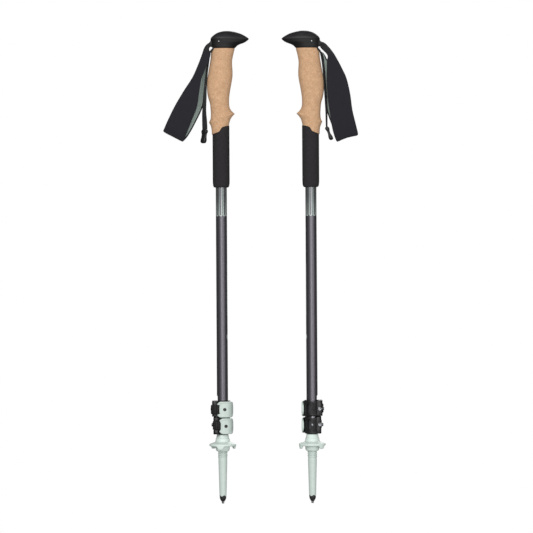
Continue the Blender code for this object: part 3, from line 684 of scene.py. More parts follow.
def make_tip(side):
    profile = softened([(0, 0.6), (0.8, 0.35), (1.3, 0.0), (1.75, 0.7), (1.75, 9.0), (0, 9.0)], 0.3,
                       loop=False)
    piece(side, "tip_pin", turned(profile, 48), "lower", "carbide", "carbide", ["carbide_tip"])

    profile = [(1.8, 4.2), (1.85, 2.9), (2.2, 3.0), (3.0, 4.3), (4.0, 5.9), (4.6, 7.4), (4.84, 9.2),
               (4.86, 13.5), (1.8, 13.5)]
    nose = turned(softened(profile, 0.5, 3), 96)
    for vert in nose.verts:
        x, y, z = vert.co
        radius, angle = math.hypot(x, y), math.atan2(y, x)
        if radius > 2.8 and z < FLUTE_TOP:
            flute = 1 - FLUTE_DEPTH * max(0.0, math.cos(FLUTES * angle)) ** 2
            vert.co.x, vert.co.y = x * flute, y * flute
    piece(side, "nose", nose, "lower", "nose_rubber", "nose", ["tip_nose"])

    profile = [(3.6, FERRULE_END), (4.7, FERRULE_END), (5.02, FERRULE_END + 0.5), (5.12, 14.0),
               (5.75, 38.0), (6.33, 61.0), (6.28, 64.2), (ROOT_R, 65.0), (ROOT_R, 75.4),
               (6.7, 76.2), (6.7, 94.5), (5.0, 94.5), (5.0, 31.0), (3.6, 31.0)]
    sleeve = turned(softened(profile, 0.35, 3), 96)
    for vert in sleeve.verts:
        x, y, z = vert.co
        if z < FERRULE_END + TOOTH_REACH:
            share = (FERRULE_END + TOOTH_REACH - z) / TOOTH_REACH
            wave = math.cos(TEETH * math.atan2(y, x) + math.pi / 2)
            vert.co.z = z - share * TOOTH_DEPTH * wave
    ridge = helix_ridge(THREAD_BOTTOM, THREAD_PITCH, THREAD_TURNS, ROOT_R, CREST_R)
    piece(side, "ferrule_sleeve", joined(sleeve, ridge), "lower", "mint_tip", "mint_tip", ["ferrule"])


BASKET_TABS = (-100, 20, 140)
TAB_HALF_ANGLE, TAB_FLANK, TAB_DROP = 20.0, 13.0, 4.3
RIM_R, RIM_TOP, RIM_BLEND = 15.6, 84.2, 1.1      # the tabs pull down what lies outside and below


def tab_share(x, y):
    """How much of a tab's drop a point of the rim has: 1 at a tab and 0 between two."""
    degrees = math.degrees(math.atan2(y, x))
    off = min(abs((degrees - tab + 180) % 360 - 180) for tab in BASKET_TABS)
    share = max(0.0, min(1.0, (TAB_HALF_ANGLE - off) / TAB_FLANK))
    return share * share * (3 - 2 * share)


def make_basket(side):
    profile = [(7.4, 75.5), (8.1, 75.3), (9.2, 76.2), (10.0, 77.8), (10.2, 80.5), (10.3, 83.2),
               (13.0, 83.8), (15.4, 84.2), (16.0, 83.8), (16.3, 83.1), (17.2, 82.8), (18.3, 82.9),
               (19.1, 83.5), (19.4, 84.4), (19.3, 85.2), (18.6, 86.0), (16.8, 86.8), (14.4, 87.6),
               (12.2, 88.4), (10.9, 89.2), (10.4, 90.2), (10.15, 92.2), (9.95, 93.4), (9.75, 94.0),
               (9.25, 94.2), (9.1, 94.7), (9.05, 95.6), (8.6, 98.4), (8.2, 99.4), (6.9, 99.4),
               (6.9, 96.6), (7.4, 95.2)]
    disc = turned(softened(profile, 0.25, 2), 144)
    for vert in disc.verts:
        x, y, z = vert.co
        if math.hypot(x, y) > RIM_R and z < RIM_TOP:
            depth = min(1.0, (RIM_TOP - z) / RIM_BLEND)
            vert.co.z = z - TAB_DROP * tab_share(x, y) * depth
    piece(side, "basket_disc", disc, "basket", "mint_tip", "basket", ["basket"], sharp=38)


# ---- shafts ----
def tube(radius, bottom, top):
    inner = radius - WALL
    return turned([(radius, bottom), (radius, (bottom + top) / 2), (radius, top), (inner, top),
                   (inner, bottom)])


def make_shafts(side):
    relief = prism(softened([(-4.0, 140.0), (4.0, 140.0), (4.0, 155.6), (-4.0, 155.6)], 2.0, 4),
                   -12.0, -5.0, axis="x")
    upper = carved(tube(UPPER_R, *levels_of(side + "_upper_shaft")), relief)
    piece(side, "upper_tube", upper, "upper", "shaft", "shaft_" + side, ["upper_shaft"])
    middle = tube(MIDDLE_R, *levels_of(side + "_middle_shaft"))
    piece(side, "middle_tube", middle, "middle", "shaft", "shaft_inner", ["middle_shaft"])
    bottom, top = levels_of(side + "_lower_shaft")
    neck, inner = LOWER_R - 1.5, LOWER_R - WALL
    profile = [(neck, bottom), (neck, 95.0), (LOWER_R, 99.0), (LOWER_R, top), (inner, top),
               (inner, 99.3), (neck - WALL, 95.3), (neck - WALL, bottom)]
    piece(side, "lower_tube", turned(profile), "lower", "shaft", "shaft_inner", ["lower_shaft"])


# ---- lever clamps ----
ARC_SQUARE, ARC_R, ARC_START, ARC_STEP = 2.6, 13.4, -116.0, 0.5    # angles in degrees


def arc_point(distance, depth):
    """A point on the lever's squared arc, `distance` along it from its rear end, `depth` proud."""
    previous, length, angle = None, 0.0, ARC_START
    while True:
        c, s = math.cos(math.radians(angle)), math.sin(math.radians(angle))
        stretch = (abs(c) ** ARC_SQUARE + abs(s) ** ARC_SQUARE) ** (-1 / ARC_SQUARE)
        here = Vector((c, s)) * stretch * ARC_R
        if previous is not None:
            length += (here - previous).length
            if length >= distance:
                return here + Vector((c, s)) * stretch * depth
        elif distance <= 0:
            along = Vector((-s, c))
            return here + Vector((c, s)) * depth + along * distance
        previous = here
        angle += ARC_STEP


def plate_outline(start, length, low, high):
    """The lever plate laid flat as (distance along the arc, z): horns at its rear corners, and a
    recess between them where the knuckle sits."""
    chamfer, horn, recess = 3.9, 4.2, 2.6
    points = [(0.0, low + chamfer), (horn, low), (length - 12.0, low), (length - 6.5, low + 0.9),
              (length - 2.2, low + 3.1), (length, low + 7.0), (length, high - 7.0),
              (length - 2.2, high - 3.1), (length - 6.5, high - 0.9), (length - 12.0, high),
              (horn, high), (0.0, high - chamfer), (recess, high - chamfer - 2.2),
              (recess, low + chamfer + 2.2)]
    corners = [Vector((start + a, b)) for a, b in softened(points, 2.4, 5)]
    even = []
    for a, b in zip(corners, corners[1:] + corners[:1]):
        pieces = max(1, round((b - a).length / 0.8))
        even += [a.lerp(b, k / pieces) for k in range(pieces)]
    return even


def bent_plate(outline, rings, lip=(0.0, 0.0)):
    """A plate of copies of an outline, each (scale, depth), bent round the lever's arc. Towards
    its free end it grows thicker, inwards and outwards, by the two sizes of `lip`."""
    lip_reach = 4.5
    centre = sum(outline, Vector((0, 0))) / len(outline)
    end = max(point.x for point in outline)
    made = []
    for scale, depth in rings:
        ring = []
        for point in outline:
            along, z = centre + (point - centre) * scale
            share = max(0.0, 1 - (end - along) / lip_reach) ** 1.5
            x, y = arc_point(along, depth + share * (lip[1] if depth > 0 else -lip[0]))
            ring.append((x, y, z))
        made.append(ring)
    return lofted(made)


def flat(depth, first, last):
    """Rings of one depth for a bent plate, close enough to follow the arc."""
    count = max(2, round(abs(last - first) / 0.07))
    return [(first + (last - first) * k / count, depth) for k in range(count + 1)]


# where a lever's plate starts and ends along the arc, the levels of its knuckle, and how far the
# knuckle and its block sit towards the front of the pole
PLATE_START, PLATE_END = {"upper": -1.9, "lower": 1.2}, 31.6
KNUCKLE = {"upper": (129.4, 142.8), "lower": (106.8, 119.6)}
KNUCKLE_SHIFT = {"upper": 0.0, "lower": 1.8}


def make_lever(side, which, body):
    low, high = levels_of(f"{side}_{which}_lever")
    start = PLATE_START[which]
    outline = plate_outline(start, PLATE_END - start, low, high)
    cover = bent_plate(outline, [
        *flat(-0.4, 0.04, 0.94), (1.0, -0.1), (1.0, 0.7), (0.985, 1.2), (0.95, 1.5), (0.87, 1.55),
        (0.80, 1.5), (0.775, 1.22), *flat(1.2, 0.76, 0.04)], lip=(1.1, 0.7))
    piece(side, which + "_lever_cover", cover, body, "mint_lever", "mint_lever",
          [f"{which}_lever"], sharp=50)
    spot = [Vector((10.3 + start / 2, (low + high) / 2)) + Vector(p) for p in circle(2.3)]
    badge = bent_plate(spot, [*flat(1.0, 0.1, 1.0), (1.0, 1.3), (0.85, 1.38), *flat(1.38, 0.8, 0.1)])
    piece(side, which + "_lever_dot", badge, body, "clamp_plastic", "clamp")

    liner = bent_plate(outline, [*flat(-1.5, 0.04, 0.86), (0.92, -1.3), (0.93, -0.5),
                                 *flat(-0.38, 0.9, 0.04)])
    shift = KNUCKLE_SHIFT[which]
    plan = [(-16.6, -13.4), (-16.6, -9.4), (-14.2, -7.2), (-10.4, -7.0), (-8.0, -9.3), (-4.2, -11.7),
            (-2.6, -12.6), (-3.0, -14.2), (-6.4, -15.8), (-7.9, -16.0), (-8.4, -15.4), (-8.9, -16.1),
            (-12.0, -16.0), (-12.5, -15.3), (-13.0, -15.9), (-15.0, -15.2)]
    plan = [(x * (1 - shift / 18) + shift / 2, y) for x, y in softened(plan, 0.9, 3)]
    barrel = prism(plan, *KNUCKLE[which], edge=1.3)
    piece(side, which + "_lever_core", joined(liner, barrel), body, "clamp_plastic", "dark", sharp=35)


def make_clamp_body(side, which, body):
    bottom, top = levels_of(f"{side}_{which}_clamp_body")
    tube_r, collar_r = {"upper": (UPPER_R, 11.4), "lower": (MIDDLE_R, 10.8)}[which]
    knuckle, shift = KNUCKLE[which], KNUCKLE_SHIFT[which]
    screw_z = sum(knuckle) / 2
    bore = tube_r + 0.3
    ribs, pitch, dip = [], 1.5, collar_r - 0.22
    for k in range(int((top - bottom - 6) / pitch)):
        z = bottom + 3 + pitch * k
        ribs += [(collar_r, z), (dip, z + 0.25), (dip, z + 0.5), (collar_r, z + 0.75)]
    profile = [(bore - 1.0, bottom), (collar_r - 1.5, bottom), (collar_r - 0.5, bottom + 0.5),
               (collar_r, bottom + 1.6), *ribs, (collar_r, top - 1.0), (collar_r - 0.3, top - 0.3),
               (collar_r - 1.0, top), (bore, top), (bore, bottom + 1.3), (bore - 1.0, bottom + 1.3)]
    low, high = bottom + 0.4, top - 0.1
    rear = -14.9 + shift
    block = softened([(rear, -12.5), (rear + 1.9, -15.0), (rear + 6.5, -15.0), (rear + 8.5, -12.4),
                      (rear + 8.5, -7.0), (-bore - 0.4, -3.0), (-bore - 0.4, 3.0), (-6.0, 8.6),
                      (rear + 2.3, 8.6), (rear, 6.8)], 0.9, 3)
    pocket = [(-18.0, -19.0), (-18.0, -6.7), (-14.6, -6.7), (-13.2, -5.2), (-8.2, -5.2), (-6.0, -6.0),
              (-6.0, -19.0)]
    sill, lintel = screw_z - 6.6, screw_z + 6.8
    window = prism(softened([(-2.6, sill), (2.6, sill), (2.6, lintel), (-2.6, lintel)], 0.9, 3),
                   tube_r - 0.5, 14.0, axis="x")
    bmesh.ops.rotate(window, cent=(0, 0, 0), verts=window.verts[:],
                     matrix=Matrix.Rotation(math.radians(62), 3, "Z"))
    scoop = prism(circle(9.0, -2.6, top + 6.9, 48), 1.0, 14.0, axis="y")
    split = prism([(-17, -1.0), (-4, -1.0), (-4, 1.0), (-17, 1.0)], bottom - 1, top + 1)
    screw_seat = prism(circle(3.3, PIN_X, screw_z), 6.4, 10.0, axis="y")
    made = carved(turned(softened(profile, 0.15, 2)), prism(pocket, knuckle[0] - 0.5, knuckle[1] + 0.5),
                  split, window, scoop, screw_seat, added=prism(block, low, high, edge=1.0))
    piece(side, which + "_clamp", made, body, "clamp_plastic", "clamp",
          [f"{which}_clamp_body", f"{which}_lever_pin"], sharp=30, bevel=0.12)

    at, half_width, material = {"upper": (-2.1, 1.2, ("clamp_plastic", "clamp")),
                                "lower": (0.0, 1.6, ("steel", "steel"))}[which]
    bump = dome((at, collar_r - 0.2, screw_z), (half_width, 0.9, 2.4))
    piece(side, which + "_clamp_stud", bump, body, *material)
    nut = [(y, screw_z + dz) for y, dz in ((2.2, -2.4), (6.0, -2.4), (6.6, 0.0), (6.0, 2.4),
                                           (2.2, 2.4), (1.6, 0.0))]
    cap = prism(softened(nut, 1.2, 4), -12.0, {"upper": -17.2, "lower": -16.0}[which], axis="x",
                edge=0.9)
    piece(side, which + "_clamp_nut", cap, body, "steel", "dark_steel")
    pin = prism(circle(2.2, PIN_X, PIN_Y), low + 0.6, high - 0.3, edge=0.3)
    piece(side, which + "_pin", pin, body, "steel", "dark_steel")


def make_screw(side, which):
    """The tension screw: a cap head with a hexagon socket, its shank hidden in the block."""
    low, high = levels_of(f"{side}_{which}_clamp_screw")
    z = (low + high) / 2
    profile = [(0, -13.0), (1.2, -13.0), (1.2, 6.6), (2.75, 6.6), (2.75, 8.5), (2.4, 8.9), (1.7, 8.9)]
    head = turned(softened(profile + [(1.7, 7.3), (0, 7.0)], 0.2, 3, loop=False), 48)
    for vert in head.verts:
        x, y, along = vert.co
        if math.hypot(x, y) < 1.75 and along > 6.8:
            angle = math.atan2(y, x) % (math.pi / 3) - math.pi / 6
            x, y = (value * math.cos(math.pi / 6) / math.cos(angle) for value in (x, y))
        vert.co = (PIN_X + x, along, z - y)
    piece(side, which + "_screw", head, which + "_screw", "steel", "steel",
          [f"{which}_clamp_screw"], sharp=30)


def make_clamps(side):
    for which, body in (("upper", "upper"), ("lower", "middle")):
        make_clamp_body(side, which, body)
        make_lever(side, which, which + "_lever")
        make_screw(side, which)


# ---- grip ----
CORK = [
    # rear z, rear x, front z, front x, half width, egg: the rings tilt where the grip flares
    (520, -13.2, 530, 12.3, 12.3, 0), (527, -13.1, 538, 12, 12.3, 0),
    (534, -13.2, 544, 11.6, 12.4, 0), (541, -13.9, 552, 13.4, 12.6, 0.04),
    (545.6, -15.4, 557.4, 16.6, 13.1, 0.10), (548.4, -16.8, 560.2, 19.3, 13.6, 0.15),
    (549.4, -16.9, 561.4, 19.9, 13.6, 0.15), (550.8, -16.1, 562.9, 18, 13.3, 0.12),
    (554, -14.9, 566.4, 14.8, 12.8, 0.05),
    (560, -14.4, 571, 12.6, 12.5, 0), (567, -14.7, 578, 12, 12.7, 0),
    (576, -15.6, 585, 12.3, 13.1, 0), (585, -18.2, 592, 13.2, 13.7, 0),
    (595, -19.6, 600, 14.6, 14.2, 0), (609, -19.5, 611, 16.6, 14.6, 0),
    (620, -17.7, 620, 17.3, 14.5, 0), (635, -15.2, 635, 16.6, 13.8, 0),
    (644, -13.9, 644, 17.9, 13.4, 0), (652, -13.7, 652, 19.8, 13.3, 0),
    (654.2, -13.8, 654.2, 20.4, 13.3, 0), (655, -13.4, 655, 20.1, 12.9, 0),
]
BOUNDARY = [
    # the stepped edge where the cork meets the foam, front to rear, as (x, z)
    (14, 544.4), (5.5, 542.6), (1.5, 540.9), (0.2, 539.2), (-1.3, 536.8), (-3, 535), (-14, 531),
]


OVAL_POINTS, OVAL_POWER = 96, 2 / 2.2     # a power of 1 would be an ellipse


def oval(rear, front, half, egg):
    """A plan ring from x = rear to x = front as (x, y, share of the way to the front). An egg is
    narrower at the front."""
    middle, reach = (rear + front) / 2, (front - rear) / 2
    made = []
    for i in range(OVAL_POINTS):
        x, y = squared(i, OVAL_POINTS, OVAL_POWER, OVAL_POWER)
        slim = 1 - egg * math.cos(2 * math.pi * i / OVAL_POINTS)
        made.append((middle + reach * x, half * y * slim, (x + 1) / 2))
    return made


def boundary_side(far_z):
    """A block on one side of the cork's lower edge, from the edge to z = far_z."""
    outline = [(30, BOUNDARY[0][1]), *(tuple(p) for p in through(BOUNDARY, 4)),
               (-30, BOUNDARY[-1][1]), (-30, far_z), (30, far_z)]
    return prism(outline, -20, 20, axis="y")


def make_cork(side):
    rings = []
    for rear_z, rear, front_z, front, half, egg in through(CORK, 5):
        rings.append([(x, y, rear_z + (front_z - rear_z) * t)
                      for x, y, t in oval(rear, front, half, egg)])
    notch = prism(softened([(-30, 649.0), (-13.6, 649.2), (-8.7, 654.0), (-8.2, 660), (-30, 660)], 0.8,
                           loop=False), -9, 9, axis="y")
    grip = carved(lofted(rings), boundary_side(500), notch)
    piece(side, "cork_handle", grip, "upper", "cork", "cork", ["cork_grip"], sharp=50, bevel=0.35)


def make_foam(side):
    inner = UPPER_R + 0.05
    rounding = [(9.1, 0.0), (10.1, 0.35), (10.9, 1.1), (11.5, 2.5), (11.9, 4.6), (12.1, 6.8),
                (FOAM_R, 9.0)]
    profile = [(inner, FOAM_BOTTOM + 0.3)]
    profile += [(p.x, FOAM_BOTTOM + p.y) for p in through(rounding, 4)]
    profile += [(FOAM_R, FOAM_BOTTOM + 9.0 + 8 * k) for k in range(1, 11)]
    profile += [(inner, FOAM_BOTTOM + 89.0)]
    foam = carved(turned(profile), boundary_side(560))
    piece(side, "foam_sleeve", foam, "upper", "foam", "foam", ["foam_grip"], sharp=50, bevel=0.3)


HEAD_BASE = [
    # z, rear x, front x, half width, egg
    (655.5, -14, 20.4, 13.2, 0), (656.6, -14.2, 21.6, 13.5, 0.02), (658, -14.3, 23, 13.8, 0.05),
    (659.6, -14.4, 24.8, 14, 0.08), (661.2, -14.4, 27.9, 14.2, 0.12), (663, -14.5, 33, 14.4, 0.18),
    (664.6, -14.5, 36.3, 14.6, 0.22), (666.2, -14.4, 38.5, 14.7, 0.26),
    (667.3, -14.3, 39.8, 14.8, 0.28), (668.1, -14.25, 40.5, 14.9, 0.29),
    (PARTING, -14.1, 40.5, 14.8, 0.29),
]
HEAD_CAP = [
    (668.42, -14.1, 40.6, 14.8, 0.29), (668.62, -14.25, 40.9, 14.95, 0.30),
    (669.5, -14.1, 40.7, 15, 0.30), (670.7, -13.5, 39.2, 14.8, 0.30), (672.2, -12.2, 37.2, 14.2, 0.29),
    (674, -10.3, 34.2, 13.1, 0.28), (676, -7.6, 30.3, 11.4, 0.25), (677.8, -4.4, 25.2, 9.2, 0.20),
    (679.1, -0.6, 20, 6.8, 0.14), (680, 3.4, 15.6, 4.2, 0.08), (680.4, 7.2, 11.6, 1.6, 0),
]
ANCHOR = [
    # the webbing inside the head, from the upper strand round the cross pin to the lower one
    (-13.2, 665), (-10.6, 666), (-7.4, 666.9), (-2.1, 667.4), (-0.1, 666.6), (0.6, 664.7),
    (-0.1, 662.8), (-2.1, 662), (-5, 660.3), (-9.4, 656.9), (-13.9, 652.2), (-14.8, 650.8),
]


CROSS_PIN = (-2.1, 664.7)                # its x and z
SLOT_HALF, WEB_HALF = 7.3, 6.2           # half the widths of the head's slot and of the webbing


def head_shell(rows):
    return lofted([[(x, y, z) for x, y, _ in oval(rear, front, half, egg)]
                   for z, rear, front, half, egg in through(rows, 4)])


def make_head(side):
    def across(outline, half, edge=0.0):
        return prism(outline, -half, half, axis="y", edge=edge)

    cavity = across([(-18, 665.7), (-12.6, 665.8), (-7.6, 668.0), (2.0, 668.0), (2.0, 661.0),
                     (-2.4, 660.6), (-7.4, 656.9), (-9.8, 655.0), (-10.4, 653), (-18, 653)], SLOT_HALF)
    corner = across(softened([(-20, 650), (-11.2, 650), (-11.2, 656.0), (-12.6, 657.6), (-20, 658.2)],
                             1.0, loop=False), 20)
    holes = [prism(circle(1.35, *CROSS_PIN), *ends, axis="y")
             for ends in ((12.6, 20.0), (-20.0, -12.6))]
    base = carved(head_shell(HEAD_BASE), cavity, corner, *holes)
    tongue = across(softened([(-8.3, 657.4), (-8.6, 654.7), (-12.6, 650.2), (-13.9, 649.9),
                              (-14.3, 650.9), (-13.0, 652.8), (-11.2, 654.6), (-10.6, 657.4)], 0.7, 3),
                    9.6, edge=0.5)
    groove = across([(-20, 666), (-20, 650.4), (-14.4, 650.4), (-10.2, 655.8), (-7.0, 658.0),
                     (-7.0, 666)], 6.8)
    cheek = softened([(-16.0, 663.2), (-14.6, 665.4), (-12.0, 666.0), (-12.0, 657.8), (-14.6, 658.4)],
                     0.8, 3)
    cheeks = [prism(cheek, *ends, axis="y", edge=0.4) for ends in ((-8.9, -7.4), (7.4, 8.9))]
    # the head body's darkened plastic carries painted shade on the head's underside
    piece(side, "head_body", joined(base, carved(tongue, groove), *cheeks), "upper", "head_plastic",
          "base", ["head_base"], sharp=42, bevel=0.25)
    piece(side, "head_dome", head_shell(HEAD_CAP), "upper", "head_plastic", "head", ["head_cap"],
          sharp=60)

    pin = across(circle(1.2, *CROSS_PIN), 13.9, edge=0.35)
    piece(side, "cross_pin", pin, "upper", "steel", "steel", ["strap_pin"])

    # the wedge takes the darkest plastic as painted shade, where it sits between the strap's layers
    # under the head
    wedge = across(softened([(-10.7, 663.4), (-6.2, 664.6), (-5.6, 663.6), (-5.9, 661.6),
                             (-9.9, 658.2), (-11.0, 658.8)], 0.5, 3), 5.8, edge=0.4)
    piece(side, "wedge_block", wedge, "wedge", "clamp_plastic", "dark", ["strap_wedge"])

    path = through([(x, 0, z) for x, z in ANCHOR], 5)
    near, far = ([point + Vector((0, y, 0)) for point in path] for y in (-WEB_HALF, WEB_HALF))
    piece(side, "head_web", ribbon(near, far, 1.2), "upper", "strap_black", "webbing",
          ["strap_anchor"], sharp=60)


# ---- wrist straps ----
# Stations down the front layer, round the fold at the bottom and up the rear layer. Each is
# (outer edge, inner edge), and an edge is (x, z, distance towards the layer that lies in front).
LEFT_STRAP = [
    ((-12.8, 665.6, -6.2), (-12.9, 664.8, 6.2)), ((-19.6, 661.8, -5.8), (-13.8, 659.2, 6.6)),
    ((-23.9, 655.6, -5), (-16.3, 654, 7)), ((-26.6, 647, -1), (-14.4, 645, 9)),
    ((-32.6, 631, 4), (-20.8, 628, 10)),
    ((-40.5, 613.5, 7), (-27.4, 611.5, 10)), ((-52.5, 595, 8.5), (-30.5, 594, 10)),
    ((-65.4, 573.5, 9), (-33.9, 572, 10)), ((-75.5, 553.5, 8.5), (-42.2, 550.2, 9)),
    ((-81, 541.5, 6.5), (-49.8, 531.5, 6.5)), ((-83.2, 536.5, 0), (-54.6, 521.5, 0)),
    ((-77.5, 541.5, -6), (-46.6, 531.5, -6)), ((-70, 556, -7.5), (-36.2, 550.2, -8)),
    ((-60, 576, -8), (-25.8, 573, -8.5)), ((-46.5, 597, -8), (-22.9, 594, -8.5)),
    ((-36, 615, -7.5), (-20.8, 613, -8.2)), ((-28.5, 632.5, -7), (-18.6, 631, -8)),
    ((-22, 643, -7.5), (-17, 641.5, -2.5)), ((-14.6, 651, -6.5), (-14.6, 651, 6.5)),
]
RIGHT_STRAP = [
    ((-12.8, 665.6, -6.2), (-12.9, 664.8, 6.2)), ((-20.6, 663.2, -5.8), (-14, 658.6, 6.6)),
    ((-26.4, 657.8, -5), (-16, 654.2, 7)), ((-32.7, 649.4, -1), (-24.8, 644.3, 9)),
    ((-38.9, 638.8, 4), (-24, 634.9, 10)),
    ((-46.4, 624, 7), (-23.6, 621, 10)), ((-52.4, 610, 8.5), (-23.4, 606, 10)),
    ((-57.3, 588, 9), (-24.4, 587, 10)), ((-60.4, 565, 8.5), (-27, 566, 9.5)),
    ((-65.4, 544, 6.5), (-31.4, 538, 6.5)), ((-68.8, 529.4, 0), (-37.2, 519.8, 0)),
    ((-61.5, 545, -6), (-31.8, 541, -6)), ((-57, 566, -7.5), (-23.6, 566, -8)),
    ((-54, 588, -8), (-22.2, 588, -8.5)), ((-47, 609, -8), (-21, 606, -8.5)),
    ((-36, 624, -7.5), (-19.8, 622, -8.2)), ((-25.6, 638, -7), (-18.4, 636.5, -7.8)),
    ((-20.4, 647, -7), (-16.6, 645.5, -2.5)), ((-14.6, 651, -6.5), (-14.6, 651, 6.5)),
]
STATIONS = {"left": LEFT_STRAP, "right": RIGHT_STRAP}
LAYER_SIGN = {"left": -1, "right": 1}     # sign of local y at the layer that lies in front
PER_SPAN = 8

TAILS = {
    # centre x, z, distance to the front, and how far the tail has turned to face the front, degrees
    "left": [(-13.4, 652.6, 0, 4), (-15.6, 647, 0, 10), (-18, 632, 0, 12),
             (-20.2, 615, 0, 14), (-21.6, 600, 0, 18), (-22.6, 584, 0, 26),
             (-23.9, 566, 0.5, 36), (-23.4, 550, 1, 48), (-23.1, 538.8, 1, 50)],
    "right": [(-13.4, 652.8, 0, 4), (-15.6, 648, 0, 14), (-18.2, 634, 0, 16),
              (-19.6, 616, 0, 13), (-20.8, 600, 0, 14), (-22, 582, 0, 15),
              (-23, 564, 0, 15), (-23.2, 552, 0, 14), (-23.3, 541.6, 0, 12)],
}
TAIL_HALF = 4.75
TAB_LEAN = {"left": 7.0, "right": 21.0}   # how far the pull tab leans back from straight down
TAB_HALF = (5.25, 2.8)                    # half its width and half its thickness at their largest
TAB = [
    # distance down the pull tab, and its width and thickness there as shares of the largest
    (0.1, 0.60, 0.5), (0.6, 0.85, 0.85), (2.4, 0.98, 1), (4.2, 0.98, 0.9), (6.2, 0.86, 0.66),
    (9.4, 0.82, 0.60), (12.4, 0.84, 0.78), (15.2, 0.88, 1.02), (17.6, 0.84, 1.04), (19.3, 0.66, 0.8),
    (20, 0.45, 0.4),
]


def strap_edges(side):
    """The strap's two edge curves as dense points in the pole's frame."""
    def curve(which):
        rows = (station[which] for station in STATIONS[side])
        return through([(x, LAYER_SIGN[side] * d, z) for x, z, d in rows], PER_SPAN)

    return curve(0), curve(1)


def ribbon(edge_a, edge_b, thickness, offset=0.0, inset=0.0, count=26):
    """A strap between two edge curves, with rounded long edges, and its two UV maps in metres."""
    rings, places = [], []
    middles = [(a + b) / 2 for a, b in zip(edge_a, edge_b)]
    travelled = 0.0
    for i, (a, b) in enumerate(zip(edge_a, edge_b)):
        along = middles[min(i + 1, len(middles) - 1)] - middles[max(i - 1, 0)]
        across = (b - a).normalized()
        normal = along.cross(across).normalized()
        if i:
            travelled += (middles[i] - middles[i - 1]).length
        half_width = (b - a).length / 2 - inset
        half_thick = thickness(i) / 2 if callable(thickness) else thickness / 2
        centre = middles[i] + normal * offset
        ring = []
        for k in range(count):
            u, h = squared(k, count, 0.35, 0.6)
            ring.append(centre + across * half_width * u + normal * half_thick * h)
            places.append((half_width * u, travelled, half_width))
        rings.append(ring)
    bm = lofted(rings)
    strap, rim = bm.loops.layers.uv.new("strap"), bm.loops.layers.uv.new("rim")
    bm.verts.index_update()
    for face in bm.faces:
        for loop in face.loops:
            across, along, half = places[min(loop.vert.index, len(places) - 1)]
            loop[strap].uv = (across * MM, along * MM)
            loop[rim].uv = ((half - abs(across)) * MM, along * MM)
    return bm


def cut_edges(edges, start, end):
    """The stretch of two edge curves between two stations, which may be fractions."""
    first, last = round(start * PER_SPAN), round(end * PER_SPAN)
    return [edge[first:last + 1] for edge in edges]


# where the band and its lining start and end, and the webs end or start, in stations
BAND_START, BAND_END = {"left": 2.1, "right": 2.75}, 17.0
LINING_START, LINING_END = 3.3, {"left": 16.7, "right": 17.2}
UPPER_WEB_END, LOWER_WEB_START = 3.6, 16.4
BAND_THICK, WEB_THICK, LINING_THICK, LINING_INSET = 2.0, 1.3, 0.9, 1.9
FOLD = {
    # at the bottom fold: middle x, half width, and how far its middle is raised off a straight line
    "left": (-68.5, 15.5, 0.3), "right": (-53.0, 16.0, 2.2),
}
FOLD_TOP, FOLD_REACH = 546.0, 6.5         # the fold lies below this z and this near to y = 0


def shape_fold(side, bm):
    """Rounds the two corners of a strap layer at its bottom fold and gives the fold its wave."""
    middle, half, wave = FOLD[side]
    for vert in bm.verts:
        x, y, z = vert.co
        if z < FOLD_TOP and abs(y) < FOLD_REACH:
            near = 1 - abs(y) / FOLD_REACH
            across = max(-1.0, min(1.0, (x - middle) / half))
            vert.co.z += wave * math.cos(math.pi / 2 * across) * near
            vert.co.x -= across * abs(across) ** 7 * near**3
            vert.co.z += abs(across) ** 9 * 0.9 * near**3
    return bm


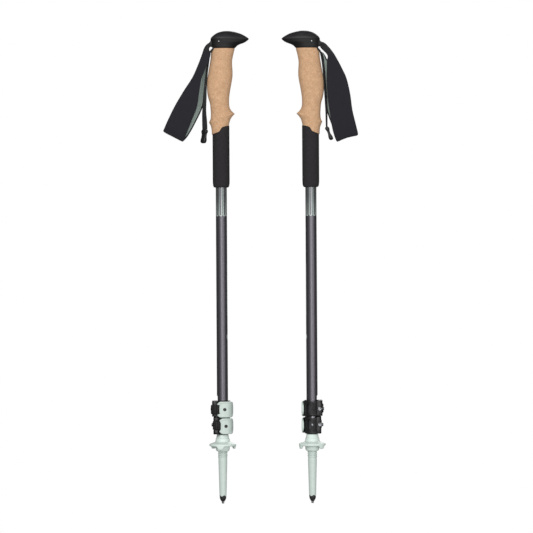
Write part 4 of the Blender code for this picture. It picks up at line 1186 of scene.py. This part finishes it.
def make_strap(side):
    edges = strap_edges(side)

    a, b = cut_edges(edges, BAND_START[side], BAND_END)
    last = len(a) - 1

    def thickness(i):
        """The band thins to about half at its two ends."""
        return BAND_THICK * min(1.0, 0.55 + i / 10, 0.55 + (last - i) / 10)

    band = piece(side, "wrist_band", shape_fold(side, ribbon(a, b, thickness, count=40)), "strap",
                 "strap_black", "knit", ["strap_band"], sharp=60)

    inside = LAYER_SIGN[side] * (BAND_THICK / 2 + LINING_THICK / 2 - 0.1)
    a, b = cut_edges(edges, LINING_START, LINING_END[side])
    lining = shape_fold(side, ribbon(a, b, LINING_THICK, offset=inside, inset=LINING_INSET))
    piece(side, "band_lining", lining, "strap", "lining_mint", "lining", ["strap_lining"], sharp=60)

    last_station = len(STATIONS[side]) - 1
    for name, start, end, blend in (
            ("upper_web", 0, UPPER_WEB_END, [(-14.8, 0, 664.4), (-20.4, 0, 655.0)]),
            ("lower_web", LOWER_WEB_START, last_station, [(-14.6, 0, 651.0), (-20.0, 0, 641.0)])):
        web = ribbon(*cut_edges(edges, start, end), WEB_THICK)
        piece(side, name, web, "strap", "strap_black", "webbing", sharp=60, blend=blend)


def make_tail(side):
    sign = LAYER_SIGN[side]
    near, far = [], []
    for x, z, distance, degrees in TAILS[side]:
        centre = Vector((x, sign * distance, z))
        turn = math.radians(degrees)
        half = Vector((math.sin(turn), sign * math.cos(turn), 0)) * TAIL_HALF
        near.append(centre + half)
        far.append(centre - half)
    near, far = through(near, PER_SPAN), through(far, PER_SPAN)
    piece(side, "tail_web", ribbon(near, far, 1.2), "strap", "strap_black", "webbing",
          ["strap_tail"], sharp=60)

    end = (near[-1] + far[-1]) / 2
    lean = math.radians(TAB_LEAN[side])
    along = Vector((-math.sin(lean), 0, -math.cos(lean)))
    across = (near[-1] - far[-1]).normalized()
    normal = along.cross(across).normalized()
    rings = []
    for distance, width, thick in through(TAB, 3):
        ring = []
        for k in range(32):
            u, h = squared(k, 32, 0.6, 0.6)
            ring.append(end + along * distance + across * u * width * TAB_HALF[0]
                        + normal * h * thick * TAB_HALF[1])
        rings.append(ring)
    piece(side, "pull_tab", lofted(rings), "strap", "clamp_plastic", "clamp", ["strap_tab"], sharp=50)


# ---- CAD pieces that keep their shape ----
def refinish_cad(side):
    for node in ("grip_core", "middle_plug", "lower_plug"):
        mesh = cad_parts[f"{side}_{node}"].data
        mesh.materials.clear()
        mesh.materials.append(MATERIALS["core"])


# ---- both poles ----
make_studio()
MATERIALS = make_materials()
for side in SIDES:
    make_tip(side)
    make_basket(side)
    make_shafts(side)
    make_clamps(side)
    make_cork(side)
    make_foam(side)
    make_head(side)
    make_strap(side)
    make_tail(side)
    refinish_cad(side)
